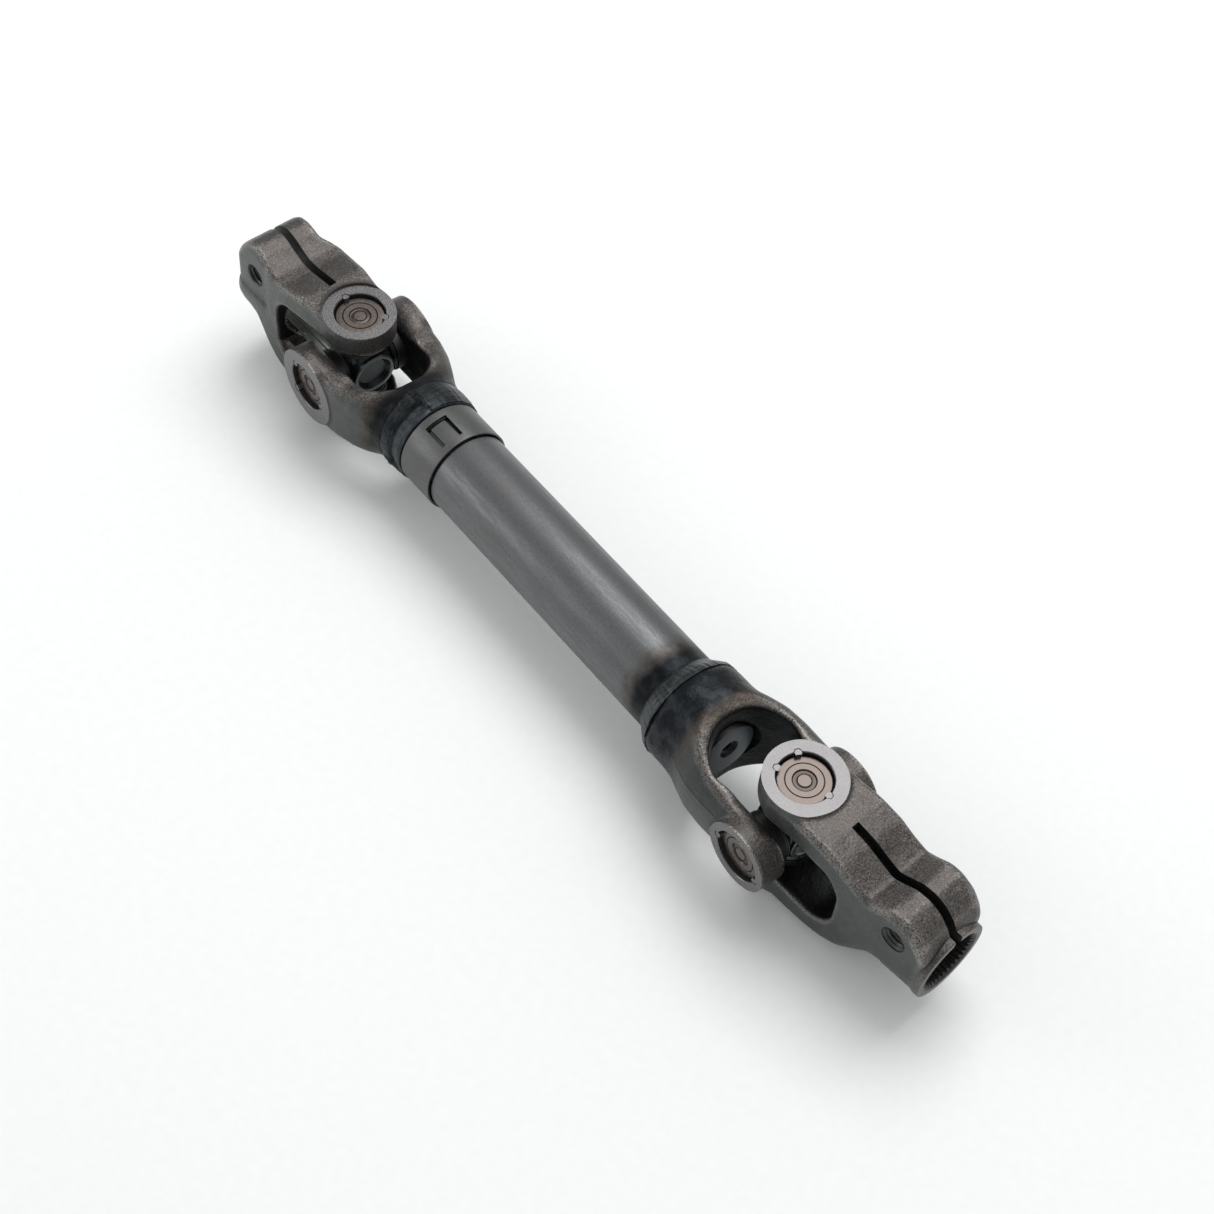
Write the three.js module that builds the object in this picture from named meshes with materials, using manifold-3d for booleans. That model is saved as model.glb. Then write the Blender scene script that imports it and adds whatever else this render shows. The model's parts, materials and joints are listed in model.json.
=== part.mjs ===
// Steering intermediate shaft: two universal joints joined by a telescoping tube.
// Millimetres, +Z up. The shaft's axis is X; each joint's clamp-yoke pins stand
// along Z and its tube-yoke pins along Y.

import * as THREE from 'three';
import { mergeVertices } from 'three/addons/utils/BufferGeometryUtils.js';
import Module from 'manifold-3d';

const wasm = await Module();
wasm.setup();

// ---------------------------------------------------------------- dimensions

const span = 200;              // distance between the two joint centres
const gap = 0.25;              // gap kept between touching pieces

// how each joint is bent at rest, in degrees
const upperPitch = 3.2;        // cross about the tube yoke's pins
const upperYaw = 2.5;          // clamp yoke about its own pins
const lowerPitch = 3.2;
const lowerYaw = 6;

// bearings, the same in all eight ears
const cupRadius = 7.4;
const cupOuterEnd = 18.1;      // closed end in the tube yoke, from the joint centre
const clampOffset = 0.95;      // the clamp yoke's bearings stand this much further out
const cupLength = 9.6;
const cupWall = 1.0;
const cupRecess = 1.6;         // radius of the dimple in the cup's face
const trunnionRadius = 4.7;
const trunnionEnd = 16.6;
const rollersPerCup = 14;
const earBore = cupRadius + gap;

// cross
const crossBossRadius = 7.0;   // round bosses on the two bare faces
const crossBossEnd = 7.2;
const crossWaist = 6.1;        // where the trunnions leave the body
const crossDish = 5.6;

// tube, cap and slip shaft
const tubeRadius = 12.75;
const tubeBore = 10.3;
const tubeStart = 44.0;        // from the upper joint centre
const tubeEnd = span - 42.9;
const capRadius = 13.65;
const capStart = 40.6;
const capEnd = 54.4;
const capWall = 0.65;
const capOpening = 10.35;      // the slip shaft's teeth pass through it
const tabStart = 43.6;         // snap tab pressed out of the cap's wall
const tabLength = 8.5;
const tabHalf = 3.0;
const tabCut = 0.9;
const tabTurn = 13;            // degrees from +Z towards -Y
const splineTeeth = 18;
const splineDepth = 0.9;
const slipEnd = 118;           // inner end of the slip shaft
const slipCollarRadius = 13.9;
const slipCollarStart = 33.2;
const slipGrooveEnd = 36.6;
const slipCollarEnd = 40.3;
const spigotRadius = 8.3;
const plugFace = 26.5;         // from the joint centre
const plugInside = 12;

const upperClampSpec = {
  ringRadius: 10.6,
  ringFace: 20.45,
  halfWidth: 12.2,
  armInside: 12.5,
  windowEnd: 26.0,
  end: 46.6,
  slotStart: 13.2,
  boltX: 37.2,
  boltZ: 11.4,
  boltRadius: 4.1,
  lipRadius: 12.0,
  lipLength: 1.2,
  // x, half width, top, bottom, top corner radius, bottom corner radius
  stations: [
    [0, 10.4, 19.9, -19.9, 2.2, 2.2],
    [9, 11.0, 20.1, -20.1, 2.4, 2.4],
    [17, 11.8, 20.1, -20.2, 2.6, 2.8],
    [23, 12.2, 19.6, -20.0, 2.8, 3.2],
    [27, 12.2, 19.4, -19.2, 2.8, 4.5],
    [31, 12.2, 20.8, -17.4, 2.8, 6.5],
    [34, 12.2, 22.2, -15.4, 3.0, 9.0],
    [37.5, 12.2, 22.8, -13.2, 3.2, 11.5],
    [41, 12.2, 21.8, -12.3, 3.4, 12.1],
    [44, 12.2, 19.0, -12.2, 3.6, 12.1],
    [45.6, 12.0, 15.5, -12.0, 3.6, 11.9],
  ],
};

const lowerClampSpec = {
  ringRadius: 11.1,
  ringFace: 20.45,
  halfWidth: 11.6,
  armInside: 11.4,
  windowEnd: 24.2,
  end: 53.8,
  slotStart: 17.2,
  boltX: 42.7,
  boltZ: 10.6,
  boltRadius: 3.7,
  lipRadius: 11.85,
  lipLength: 2.4,
  stations: [
    [0, 10.9, 19.8, -19.8, 2.2, 2.2],
    [10, 11.2, 19.9, -19.9, 2.4, 2.4],
    [17, 11.5, 19.7, -19.5, 2.6, 2.8],
    [23, 11.6, 18.4, -18.6, 2.8, 3.2],
    [28, 11.6, 16.3, -16.9, 3.0, 4.5],
    [32.5, 11.6, 15.0, -14.4, 3.0, 7.5],
    [36, 11.6, 16.5, -12.4, 3.0, 10.5],
    [39.5, 11.6, 18.3, -11.7, 3.0, 11.5],
    [43.5, 11.6, 18.9, -11.6, 3.2, 11.5],
    [47.5, 11.6, 17.6, -11.6, 3.4, 11.5],
    [50.2, 11.5, 14.6, -11.5, 3.6, 11.4],
    [51.8, 11.2, 11.6, -11.2, 3.8, 11.1],
  ],
};

const clampBoreRoot = 9.0;
const clampBoreTip = 8.4;
const clampBoreMouth = 9.6;
const clampTeeth = 36;
const slotWidth = 2.5;

const upperTubeYokeSpec = {
  ringRadius: 11.7,
  ringFace: 19.5,
  armInside: 11.2,
  throat: 26.0,
  flareFrom: 9.4,
  // x, half width, half height, corner radius
  stations: [
    [0, 19.0, 11.6, 2.4],
    [8, 19.2, 10.6, 2.6],
    [15, 18.9, 10.4, 3.4],
    [20, 18.0, 11.2, 5.0],
    [24, 16.6, 12.4, 8.0],
    [28, 14.6, 13.6, 12.6],
    [30.6, 14.2, 14.2, 14.0],
  ],
};

const lowerTubeYokeSpec = {
  ringRadius: 9.9,
  ringFace: 19.5,
  armInside: 11.2,
  throat: 27.8,
  flareFrom: 8.2,
  stations: [
    [0, 18.9, 10.2, 2.4],
    [9, 19.0, 10.0, 2.6],
    [17, 19.2, 10.8, 3.4],
    [23, 18.8, 12.6, 5.0],
    [27, 17.4, 14.2, 8.0],
    [31, 16.2, 15.6, 13.0],
    [34, 16.2, 16.2, 16.0],
    [40.6, 16.2, 16.2, 16.0],
    [42.6, 15.3, 15.3, 15.1],
  ],
};

const roundSegments = 28;

// ------------------------------------------------------------------- helpers

const radians = THREE.MathUtils.degToRad;

function toManifold(geometry) {
  const plain = geometry.clone();
  plain.deleteAttribute('normal');
  plain.deleteAttribute('uv');
  const merged = mergeVertices(plain, 1e-4);
  return new wasm.Manifold(new wasm.Mesh({
    numProp: 3,
    vertProperties: new Float32Array(merged.attributes.position.array),
    triVerts: new Uint32Array(merged.index.array),
  }));
}

function toGeometry(manifold) {
  const mesh = manifold.getMesh();
  const geometry = new THREE.BufferGeometry();
  geometry.setAttribute('position', new THREE.BufferAttribute(mesh.vertProperties, 3));
  geometry.setIndex(new THREE.BufferAttribute(mesh.triVerts, 1));
  geometry.computeVertexNormals();
  return geometry;
}

function join(...parts) {
  return parts.reduce((sum, part) => sum.add(part));
}

function cut(base, ...tools) {
  return tools.reduce((rest, tool) => rest.subtract(tool), base);
}

// Turns a shape made about +Y onto another axis.
function faceAlong(geometry, axis) {
  if (axis === 'x') geometry.rotateZ(-Math.PI / 2);
  if (axis === 'z') geometry.rotateX(Math.PI / 2);
  return geometry;
}

// Solid of revolution; the profile is a closed loop of [radius, along].
function revolve(profile, axis, segments = roundSegments) {
  const points = profile.map(([r, a]) => new THREE.Vector2(r, a));
  return toManifold(faceAlong(new THREE.LatheGeometry(points, segments), axis));
}

function cylinder(radius, from, to, axis, segments = roundSegments) {
  return revolve([[0, from], [radius, from], [radius, to], [0, to]], axis, segments);
}

function box(x0, x1, y0, y1, z0, z1) {
  const geometry = new THREE.BoxGeometry(x1 - x0, y1 - y0, z1 - z0);
  geometry.translate((x0 + x1) / 2, (y0 + y1) / 2, (z0 + z1) / 2);
  return toManifold(geometry);
}

// Prism of an outline [u, v] standing along Z (outline in XY) or Y (outline in XZ)
// or X (outline in YZ), from one height to another.
function prism(outline, from, to, axis) {
  const shape = new THREE.Shape(outline.map(([u, v]) => new THREE.Vector2(u, v)));
  const geometry = new THREE.ExtrudeGeometry(shape, { depth: to - from, bevelEnabled: false });
  geometry.translate(0, 0, from);
  if (axis === 'y') {
    geometry.rotateX(Math.PI / 2);
    geometry.translate(0, from + to, 0);
  }
  if (axis === 'x') {
    geometry.rotateZ(Math.PI / 2);
    geometry.rotateY(Math.PI / 2);
  }
  return toManifold(geometry);
}

// One cross-section in YZ: a rectangle whose corners are rounded.
function roundedSection(halfWidth, top, bottom, topCorner, bottomCorner, steps = 5) {
  const corners = [
    [halfWidth - topCorner, top - topCorner, topCorner, 0],
    [-halfWidth + topCorner, top - topCorner, topCorner, 90],
    [-halfWidth + bottomCorner, bottom + bottomCorner, bottomCorner, 180],
    [halfWidth - bottomCorner, bottom + bottomCorner, bottomCorner, 270],
  ];
  const points = [];
  for (const [y, z, radius, start] of corners) {
    for (let i = 0; i < steps; i++) {
      const angle = radians(start + (90 * i) / (steps - 1));
      points.push([y + radius * Math.cos(angle), z + radius * Math.sin(angle)]);
    }
  }
  return points;
}

// Skin over cross-sections that stand along X, closed by a cap at each end.
function loft(sections) {
  const count = sections[0].points.length;
  const positions = [];
  const index = [];
  for (const { x, points } of sections) {
    for (const [y, z] of points) positions.push(x, y, z);
  }
  for (let s = 0; s < sections.length - 1; s++) {
    for (let i = 0; i < count; i++) {
      const j = (i + 1) % count;
      const a = s * count + i;
      const b = s * count + j;
      index.push(a, b, a + count, b, b + count, a + count);
    }
  }
  const last = (sections.length - 1) * count;
  for (let i = 1; i < count - 1; i++) {
    index.push(0, i + 1, i);
    index.push(last, last + i, last + i + 1);
  }
  const geometry = new THREE.BufferGeometry();
  geometry.setAttribute('position', new THREE.Float32BufferAttribute(positions, 3));
  geometry.setIndex(index);
  return toManifold(geometry);
}

// Gear-like outline with straight flanks.
function toothedOutline(teeth, tip, root, flank = 0.25) {
  const outline = [];
  for (let i = 0; i < teeth; i++) {
    const at = (part) => (2 * Math.PI * (i + part)) / teeth;
    const marks = [[0, root], [0.5 - flank, root], [0.5, tip], [1 - flank, tip]];
    for (const [part, radius] of marks) {
      outline.push([radius * Math.cos(at(part)), radius * Math.sin(at(part))]);
    }
  }
  return outline;
}

function sawOutline(teeth, tip, root) {
  const outline = [];
  for (let i = 0; i < 2 * teeth; i++) {
    const angle = (Math.PI * i) / teeth;
    const radius = i % 2 ? tip : root;
    outline.push([radius * Math.cos(angle), radius * Math.sin(angle)]);
  }
  return outline;
}

// --------------------------------------------------------------------- yokes

// Fork with ears along Z and its pinch clamp towards +X.
function clampYoke(spec) {
  const body = loft(spec.stations.map(([x, w, top, bottom, rt, rb]) => (
    { x, points: roundedSection(w, top, bottom, rt, rb) }
  )));
  const earRadius = spec.ringRadius + 0.2;
  const ears = cylinder(earRadius, -19.6, 19.6, 'z', 32);
  const rings = cylinder(spec.ringRadius, -spec.ringFace, spec.ringFace, 'z', 32);
  const lip = revolve([
    [0, spec.end - spec.lipLength],
    [spec.lipRadius, spec.end - spec.lipLength],
    [spec.lipRadius, spec.end - 0.8],
    [spec.lipRadius - 0.8, spec.end],
    [0, spec.end],
  ], 'x', 32);
  const inside = spec.armInside;
  const far = spec.windowEnd;
  const throat = prism([
    [-20, -inside],
    [far - 11, -inside],
    [far - 5, -inside + 2],
    [far - 1.5, -inside + 5.5],
    [far, -inside + 9],
    [far, inside - 9],
    [far - 1.5, inside - 5.5],
    [far - 5, inside - 2],
    [far - 11, inside],
    [-20, inside],
  ], -30, 30, 'y');
  const serrations = prism(sawOutline(clampTeeth, clampBoreTip, clampBoreRoot), 8, 60, 'x');
  const mouth = revolve([
    [0, spec.end - 1.3],
    [clampBoreTip, spec.end - 1.3],
    [clampBoreMouth, spec.end + 0.1],
    [0, spec.end + 0.1],
  ], 'x', 36);
  const slot = box(spec.slotStart, 60, -slotWidth / 2, slotWidth / 2, 4, 30);
  const bolt = cylinder(spec.boltRadius, -30, 30, 'y', 24).translate([spec.boltX, 0, spec.boltZ]);
  const pins = cylinder(earBore, -30, 30, 'z');
  return cut(join(body, ears, rings, lip), throat, serrations, mouth, slot, bolt, pins);
}

// Fork with ears along Y and its hub towards +X.
function tubeYoke(spec, hubBore) {
  const body = loft(spec.stations.map(([x, w, h, r]) => (
    { x, points: roundedSection(w, h, -h, r, r) }
  )));
  const ears = cylinder(spec.ringRadius + 0.5, -spec.ringFace + 0.7, spec.ringFace - 0.7, 'y', 32);
  const rings = cylinder(spec.ringRadius, -spec.ringFace, spec.ringFace, 'y', 32);
  const inside = spec.armInside;
  const far = spec.throat;
  const throat = prism([
    [-20, -inside],
    [far - 7, -inside],
    [far - 3, -inside + 1.2],
    [far - 0.8, -inside + 3.4],
    [far, -inside + 6],
    [far, inside - 6],
    [far - 0.8, inside - 3.4],
    [far - 3, inside - 1.2],
    [far - 7, inside],
    [-20, inside],
  ], -30, 30, 'z');
  // eased inner edges, which let the clamp yoke swing past
  const flare = prism([
    [-inside - 4.8, spec.flareFrom + 4],
    [-inside, spec.flareFrom],
    [inside, spec.flareFrom],
    [inside + 4.8, spec.flareFrom + 4],
  ], -16, far - 11, 'x');
  const pins = cylinder(earBore, -30, 30, 'y');
  const hub = cylinder(hubBore, 10, 60, 'x');
  return cut(join(body, ears, rings), throat, flare, flare.rotate([180, 0, 0]), pins, hub);
}

// ------------------------------------------------------------ cross, bearings

function cross() {
  const core = cylinder(crossBossRadius, -crossBossEnd, crossBossEnd, 'x');
  const block = box(-5.6, 5.6, -crossWaist, crossWaist, -crossWaist, crossWaist);
  const shoulderY = cylinder(5.9, -6.9, 6.9, 'y', 20);
  const shoulderZ = cylinder(5.9, -6.9 - clampOffset, 6.9 + clampOffset, 'z', 20);
  const pinProfile = (end) => [
    [0, -end],
    [trunnionRadius - 0.7, -end],
    [trunnionRadius, -end + 0.7],
    [trunnionRadius, end - 0.7],
    [trunnionRadius - 0.7, end],
    [0, end],
  ];
  const pinsY = revolve(pinProfile(trunnionEnd), 'y', 20);
  const pinsZ = revolve(pinProfile(trunnionEnd + clampOffset), 'z', 20);
  const dish = revolve([
    [0, crossBossEnd - 1.2],
    [crossDish - 0.8, crossBossEnd - 1.2],
    [crossDish, crossBossEnd + 0.1],
    [0, crossBossEnd + 0.1],
  ], 'x', 20);
  return cut(
    join(core, block, shoulderY, shoulderZ, pinsY, pinsZ),
    dish,
    dish.rotate([0, 180, 0]),
  );
}

// Drawn cup, open towards the joint centre; built along +Y.
function bearingCup() {
  const mouth = cupOuterEnd - cupLength;
  const floor = cupOuterEnd - cupWall;
  return revolve([
    [0, floor],
    [cupRadius - cupWall, floor],
    [cupRadius - cupWall, mouth],
    [cupRadius, mouth],
    [cupRadius, cupOuterEnd - 0.5],
    [cupRadius - 0.5, cupOuterEnd],
    [cupRecess + 1.2, cupOuterEnd],
    [cupRecess, cupOuterEnd - 0.4],
    [0, cupOuterEnd - 0.4],
  ], 'y', 20);
}

// Full set of needle rollers standing round a trunnion, held as one ring.
function needleRollers() {
  const inner = trunnionRadius + 0.25;
  const outer = cupRadius - cupWall - 0.25;
  const shape = new THREE.Shape();
  const steps = 2 * rollersPerCup;
  for (let i = 0; i < steps; i++) {
    const angle = (2 * Math.PI * i) / steps;
    const radius = i % 2 ? outer - 0.4 : outer;
    const point = [radius * Math.cos(angle), radius * Math.sin(angle)];
    if (i === 0) shape.moveTo(...point);
    else shape.lineTo(...point);
  }
  const hole = new THREE.Path();
  hole.absarc(0, 0, inner / Math.cos(Math.PI / 16), 0, 2 * Math.PI, true);
  shape.holes.push(hole);
  const geometry = new THREE.ExtrudeGeometry(shape, {
    depth: 6.2,
    bevelEnabled: false,
    curveSegments: 8,
  });
  geometry.translate(0, 0, 10.2);
  geometry.rotateX(-Math.PI / 2);
  return toManifold(geometry);
}

// Rubber lip seal between the cross's shoulder and the cup's mouth.
function trunnionSeal() {
  const inner = trunnionRadius + 0.25;
  const from = 7.15;
  const to = cupOuterEnd - cupLength - gap;
  return revolve([
    [inner, from],
    [7.1, from],
    [7.1, to],
    [inner, to],
    [inner, from],
  ], 'y', 20);
}

// ----------------------------------------------------- tube, cap, slip shaft

function outerTube() {
  const skin = cylinder(tubeRadius, tubeStart, tubeEnd, 'x', 40);
  const teeth = toothedOutline(splineTeeth, tubeBore - splineDepth, tubeBore);
  return cut(skin, prism(teeth, tubeStart - 1, tubeEnd + 1, 'x'));
}

// Shaft that slides in the tube, with the collar that its yoke is welded to.
function slipShaft() {
  const tip = tubeBore - gap - 0.05;
  const teeth = toothedOutline(splineTeeth, tip - splineDepth, tip);
  const splined = prism(teeth, 46, slipEnd, 'x');
  const neck = cylinder(8.9, 38, 47, 'x');
  const collar = revolve([
    [0, slipCollarStart],
    [slipCollarRadius - 0.9, slipCollarStart],
    [slipCollarRadius - 0.9, slipGrooveEnd],
    [slipCollarRadius, slipGrooveEnd + 0.5],
    [slipCollarRadius, slipCollarEnd - 0.6],
    [slipCollarRadius - 0.6, slipCollarEnd],
    [0, slipCollarEnd],
  ], 'x', 40);
  const spigot = cylinder(spigotRadius, 25.2, slipCollarStart + 1, 'x');
  const centreHole = cylinder(1.3, 24, 28.4, 'x', 16);
  const hollow = cylinder(5.5, 60, slipEnd + 1, 'x', 24);
  return cut(join(splined, neck, collar, spigot), centreHole, hollow);
}

// Pressed cap over the tube's mouth, held by a bent tab.
function dustCap() {
  const inner = capRadius - capWall;
  const shell = revolve([
    [capOpening, capStart],
    [capRadius - 0.5, capStart],
    [capRadius, capStart + 0.5],
    [capRadius, capEnd],
    [inner, capEnd],
    [inner, capStart + capWall],
    [capOpening, capStart + capWall],
    [capOpening, capStart],
  ], 'x', 40);
  const across = box(tabStart, tabStart + tabCut, -tabHalf, tabHalf, 9, 15);
  const legs = [-1, 1].map((side) => box(
    tabStart,
    tabStart + tabLength,
    side * tabHalf - tabCut / 2,
    side * tabHalf + tabCut / 2,
    9,
    15,
  ));
  return cut(shell, join(across, ...legs).rotate([tabTurn, 0, 0]));
}

function capSeal() {
  return revolve([
    [capOpening, capStart + capWall + gap],
    [capRadius - capWall - gap, capStart + capWall + gap],
    [capRadius - capWall - gap, tubeStart - gap],
    [capOpening, tubeStart - gap],
    [capOpening, capStart + capWall + gap],
  ], 'x', 32);
}

// Solid plug pressed into the tube and the lower yoke's hub; built about -X.
function hubPlug() {
  const head = tubeBore - splineDepth - gap;
  const plug = revolve([
    [0, tubeEnd - plugInside],
    [head, tubeEnd - plugInside],
    [head, tubeEnd - 0.2],
    [spigotRadius, tubeEnd - 0.2],
    [spigotRadius, span - plugFace],
    [0, span - plugFace],
  ], 'x');
  const drill = revolve([
    [0, span - plugFace - 3.5],
    [1.1, span - plugFace - 2.6],
    [1.1, span - plugFace - 1.0],
    [2.0, span - plugFace + 0.1],
    [0, span - plugFace + 0.1],
  ], 'x', 16);
  return cut(plug, drill);
}

// Weld run round the shaft, with the outline [along, radius] over its back.
function weldBead(inner, outline) {
  const from = outline[0][0];
  const to = outline.at(-1)[0];
  const back = outline.map(([along, radius]) => [radius, along]);
  return revolve([[inner, from], ...back, [inner, to], [inner, from]], 'x', 32);
}

// ------------------------------------------------------------------ assembly

const finishes = {
  forged: { color: 0x4a4744, roughness: 0.62, metalness: 0.75 },
  tubeSteel: { color: 0x55575a, roughness: 0.42, metalness: 0.85 },
  capSteel: { color: 0x6d7070, roughness: 0.35, metalness: 0.85 },
  shaftSteel: { color: 0x2b2f36, roughness: 0.5, metalness: 0.8 },
  bearingSteel: { color: 0x8c8078, roughness: 0.4, metalness: 0.8 },
  crossSteel: { color: 0x26292c, roughness: 0.45, metalness: 0.8 },
  rubber: { color: 0x0c0c0d, roughness: 0.75, metalness: 0.0 },
  weld: { color: 0x1c1f26, roughness: 0.6, metalness: 0.7 },
};

function piece(name, manifold, finish) {
  const material = new THREE.MeshStandardMaterial(finishes[finish]);
  const mesh = new THREE.Mesh(toGeometry(manifold), material);
  mesh.name = name;
  return mesh;
}

// Cup, rollers and seal of one ear; turn is about Z for the tube yoke's ears
// (-Y needs half a turn) and the ears along Z are tipped up by a quarter turn.
function bearing(prefix, ear) {
  const parts = {
    cup: piece(`${prefix}_cup_${ear}`, bearingCup(), 'bearingSteel'),
    rollers: piece(`${prefix}_rollers_${ear}`, needleRollers(), 'bearingSteel'),
    seal: piece(`${prefix}_seal_${ear}`, trunnionSeal(), 'rubber'),
  };
  const turn = {
    left: [0, 0, 0],
    right: [0, 0, Math.PI],
    top: [Math.PI / 2, 0, 0],
    bottom: [-Math.PI / 2, 0, 0],
  }[ear];
  const offset = { top: clampOffset, bottom: -clampOffset }[ear] ?? 0;
  for (const mesh of Object.values(parts)) {
    mesh.rotation.set(...turn);
    mesh.position.z = offset;
  }
  return parts;
}

// One universal joint about its own centre; facing is the clamp's direction
// along X, +1 or -1.
function universalJoint(prefix, facing, pitch, yaw, tubeSpec, clampSpec, hubBore) {
  const joint = new THREE.Group();
  const pitched = new THREE.Group();
  const yawed = new THREE.Group();
  pitched.rotation.y = radians(pitch);
  yawed.rotation.z = radians(yaw);
  const half = facing > 0 ? 0 : Math.PI;

  const tube = piece(`${prefix}_tube_yoke`, tubeYoke(tubeSpec, hubBore), 'forged');
  tube.rotation.z = Math.PI - half;
  const clamp = piece(`${prefix}_clamp_yoke`, clampYoke(clampSpec), 'forged');
  clamp.rotation.z = half;

  joint.add(tube, pitched);
  pitched.add(piece(`${prefix}_cross`, cross(), 'crossSteel'), yawed);
  yawed.add(clamp);
  for (const ear of ['left', 'right']) {
    const { cup, rollers, seal } = bearing(prefix, ear);
    joint.add(cup);
    pitched.add(rollers, seal);
  }
  for (const ear of ['top', 'bottom']) {
    const { cup, rollers, seal } = bearing(prefix, ear);
    yawed.add(cup);
    pitched.add(rollers, seal);
  }
  return joint;
}

const shaft = new THREE.Group();

const upperJoint = universalJoint(
  'upper', -1, upperPitch, upperYaw, upperTubeYokeSpec, upperClampSpec, spigotRadius + gap,
);
const lowerJoint = universalJoint(
  'lower', 1, lowerPitch, lowerYaw, lowerTubeYokeSpec, lowerClampSpec, spigotRadius + gap,
);
lowerJoint.position.x = span;
shaft.add(upperJoint, lowerJoint);

const hubEnd = upperTubeYokeSpec.stations.at(-1)[0];
const collarFace = span - lowerTubeYokeSpec.stations.at(-1)[0];
shaft.add(
  piece('outer_tube', outerTube(), 'tubeSteel'),
  piece('dust_cap', dustCap(), 'capSteel'),
  piece('cap_seal', capSeal(), 'rubber'),
  piece('slip_shaft', slipShaft(), 'shaftSteel'),
  piece('hub_plug', hubPlug(), 'shaftSteel'),
  piece('upper_weld', weldBead(10.5, [
    [hubEnd + gap, 14.5],
    [hubEnd + 0.8, 15.1],
    [slipCollarStart - 0.9, 15.0],
    [slipCollarStart - gap, 14.3],
  ]), 'weld'),
  piece('lower_weld', weldBead(tubeRadius + gap, [
    [collarFace - 5.2, tubeRadius + 0.6],
    [collarFace - 3.2, 14.0],
    [collarFace - 1.0, 15.1],
    [collarFace - gap, 15.1],
  ]), 'weld'),
);

// The origin is the middle of the assembly's bounding box.
shaft.updateMatrixWorld(true);
const bounds = new THREE.Box3().setFromObject(shaft, true);
shaft.position.sub(bounds.getCenter(new THREE.Vector3()));

export default shaft;
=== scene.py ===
"""Steering intermediate shaft: the looks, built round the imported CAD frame.

Each piece is shaped in millimetres in the frame of its own joint or of the shaft,
and becomes metres when its mesh is made. Forgings are distance fields that are
skinned and then machined with booleans; turned parts are lathed outlines.
"""

import json
import math
from math import cos, pi, radians, sin

import bmesh
import bpy
import numpy as np
import openvdb
from mathutils import Matrix, Vector


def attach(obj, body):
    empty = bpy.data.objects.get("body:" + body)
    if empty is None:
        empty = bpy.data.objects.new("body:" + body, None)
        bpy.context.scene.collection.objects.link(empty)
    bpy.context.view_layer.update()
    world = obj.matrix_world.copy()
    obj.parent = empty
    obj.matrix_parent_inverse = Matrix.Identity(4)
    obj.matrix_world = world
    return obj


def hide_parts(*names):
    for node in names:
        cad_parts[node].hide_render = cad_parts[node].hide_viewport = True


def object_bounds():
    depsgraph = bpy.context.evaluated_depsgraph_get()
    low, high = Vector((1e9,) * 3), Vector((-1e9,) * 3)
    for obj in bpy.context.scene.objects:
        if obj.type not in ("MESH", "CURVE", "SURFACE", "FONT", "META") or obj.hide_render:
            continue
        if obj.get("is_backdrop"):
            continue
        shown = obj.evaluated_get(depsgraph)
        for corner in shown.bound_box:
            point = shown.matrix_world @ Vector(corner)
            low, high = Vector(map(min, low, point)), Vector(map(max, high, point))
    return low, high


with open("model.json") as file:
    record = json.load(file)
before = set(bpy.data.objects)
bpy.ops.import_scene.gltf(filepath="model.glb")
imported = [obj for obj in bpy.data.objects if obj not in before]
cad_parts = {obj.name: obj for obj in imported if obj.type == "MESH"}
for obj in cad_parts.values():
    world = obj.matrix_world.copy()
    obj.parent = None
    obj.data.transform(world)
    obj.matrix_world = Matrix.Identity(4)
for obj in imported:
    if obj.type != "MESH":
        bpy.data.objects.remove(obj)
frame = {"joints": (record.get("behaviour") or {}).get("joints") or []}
cad_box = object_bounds()

MM = 0.001
FINE = 0.34           # voxel of the forgings' skin, mm

# ------------------------------------------------------------------ places

joints = {joint["name"]: joint for joint in frame["joints"]}
UPPER = Vector(joints["upper_pitch"]["pos_m"])
LOWER = Vector(joints["lower_pitch"]["pos_m"])
SPAN = (LOWER - UPPER).length / MM
CLAMP_YAW = {"upper": 2.5, "lower": 6.0}      # degrees, the bend at rest


def joint_places(prefix, centre, facing):
    """Frames of one joint: its tube yoke, its cross, and its clamp yoke (towards +X)."""
    axis = joints[prefix + "_yaw"]["axis"]
    pitch = math.atan2(axis[0], axis[2])
    half = 0 if facing > 0 else pi
    base = Matrix.Translation(centre)
    pitched = base @ Matrix.Rotation(pitch, 4, "Y")
    yaw = Matrix.Rotation(radians(CLAMP_YAW[prefix]) + half, 4, "Z")
    return {
        "tube": base @ Matrix.Rotation(pi - half, 4, "Z"),
        "cross": pitched,
        "clamp": pitched @ yaw,
    }


PLACES = {
    "upper": joint_places("upper", UPPER, -1),
    "lower": joint_places("lower", LOWER, 1),
}
SHAFT = Matrix.Translation(UPPER)
TUBE_BODY = {"upper": "slip_body", "lower": "tube_body"}

# -------------------------------------------------------------- dimensions

CUP_RADIUS = 7.4
CUP_END = 18.1
CUP_LENGTH = 9.6
EAR_BORE = 7.5
PIN_RADIUS = 4.7
PIN_END = 16.6
NEEDLES = 20           # in each cup
CLAMP_OFFSET = 0.95    # the clamp yoke's bearings stand this much further out
TUBE_RADIUS = 12.75
TUBE_START = 44.0
TUBE_END = SPAN - 42.9
CAP_RADIUS = 13.65
CAP_START = 40.6
CAP_END = 54.4
CAP_WALL = 0.65
CAP_OPENING = 10.35
SLIP_END = 118.0
SPIGOT = 8.3
PLUG_FACE = 26.5
SLOT = 2.5
WINDOW_CORNER = 8.0    # rounded ends of the clamp yokes' windows
FLARE_NORMAL = (0.64, 0.768)     # facing, in Y and Z, of the ears' eased inner edges
CREASE_NORMAL = (0.876, 0.482)   # and of the ears' outer faces above their crease

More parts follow.
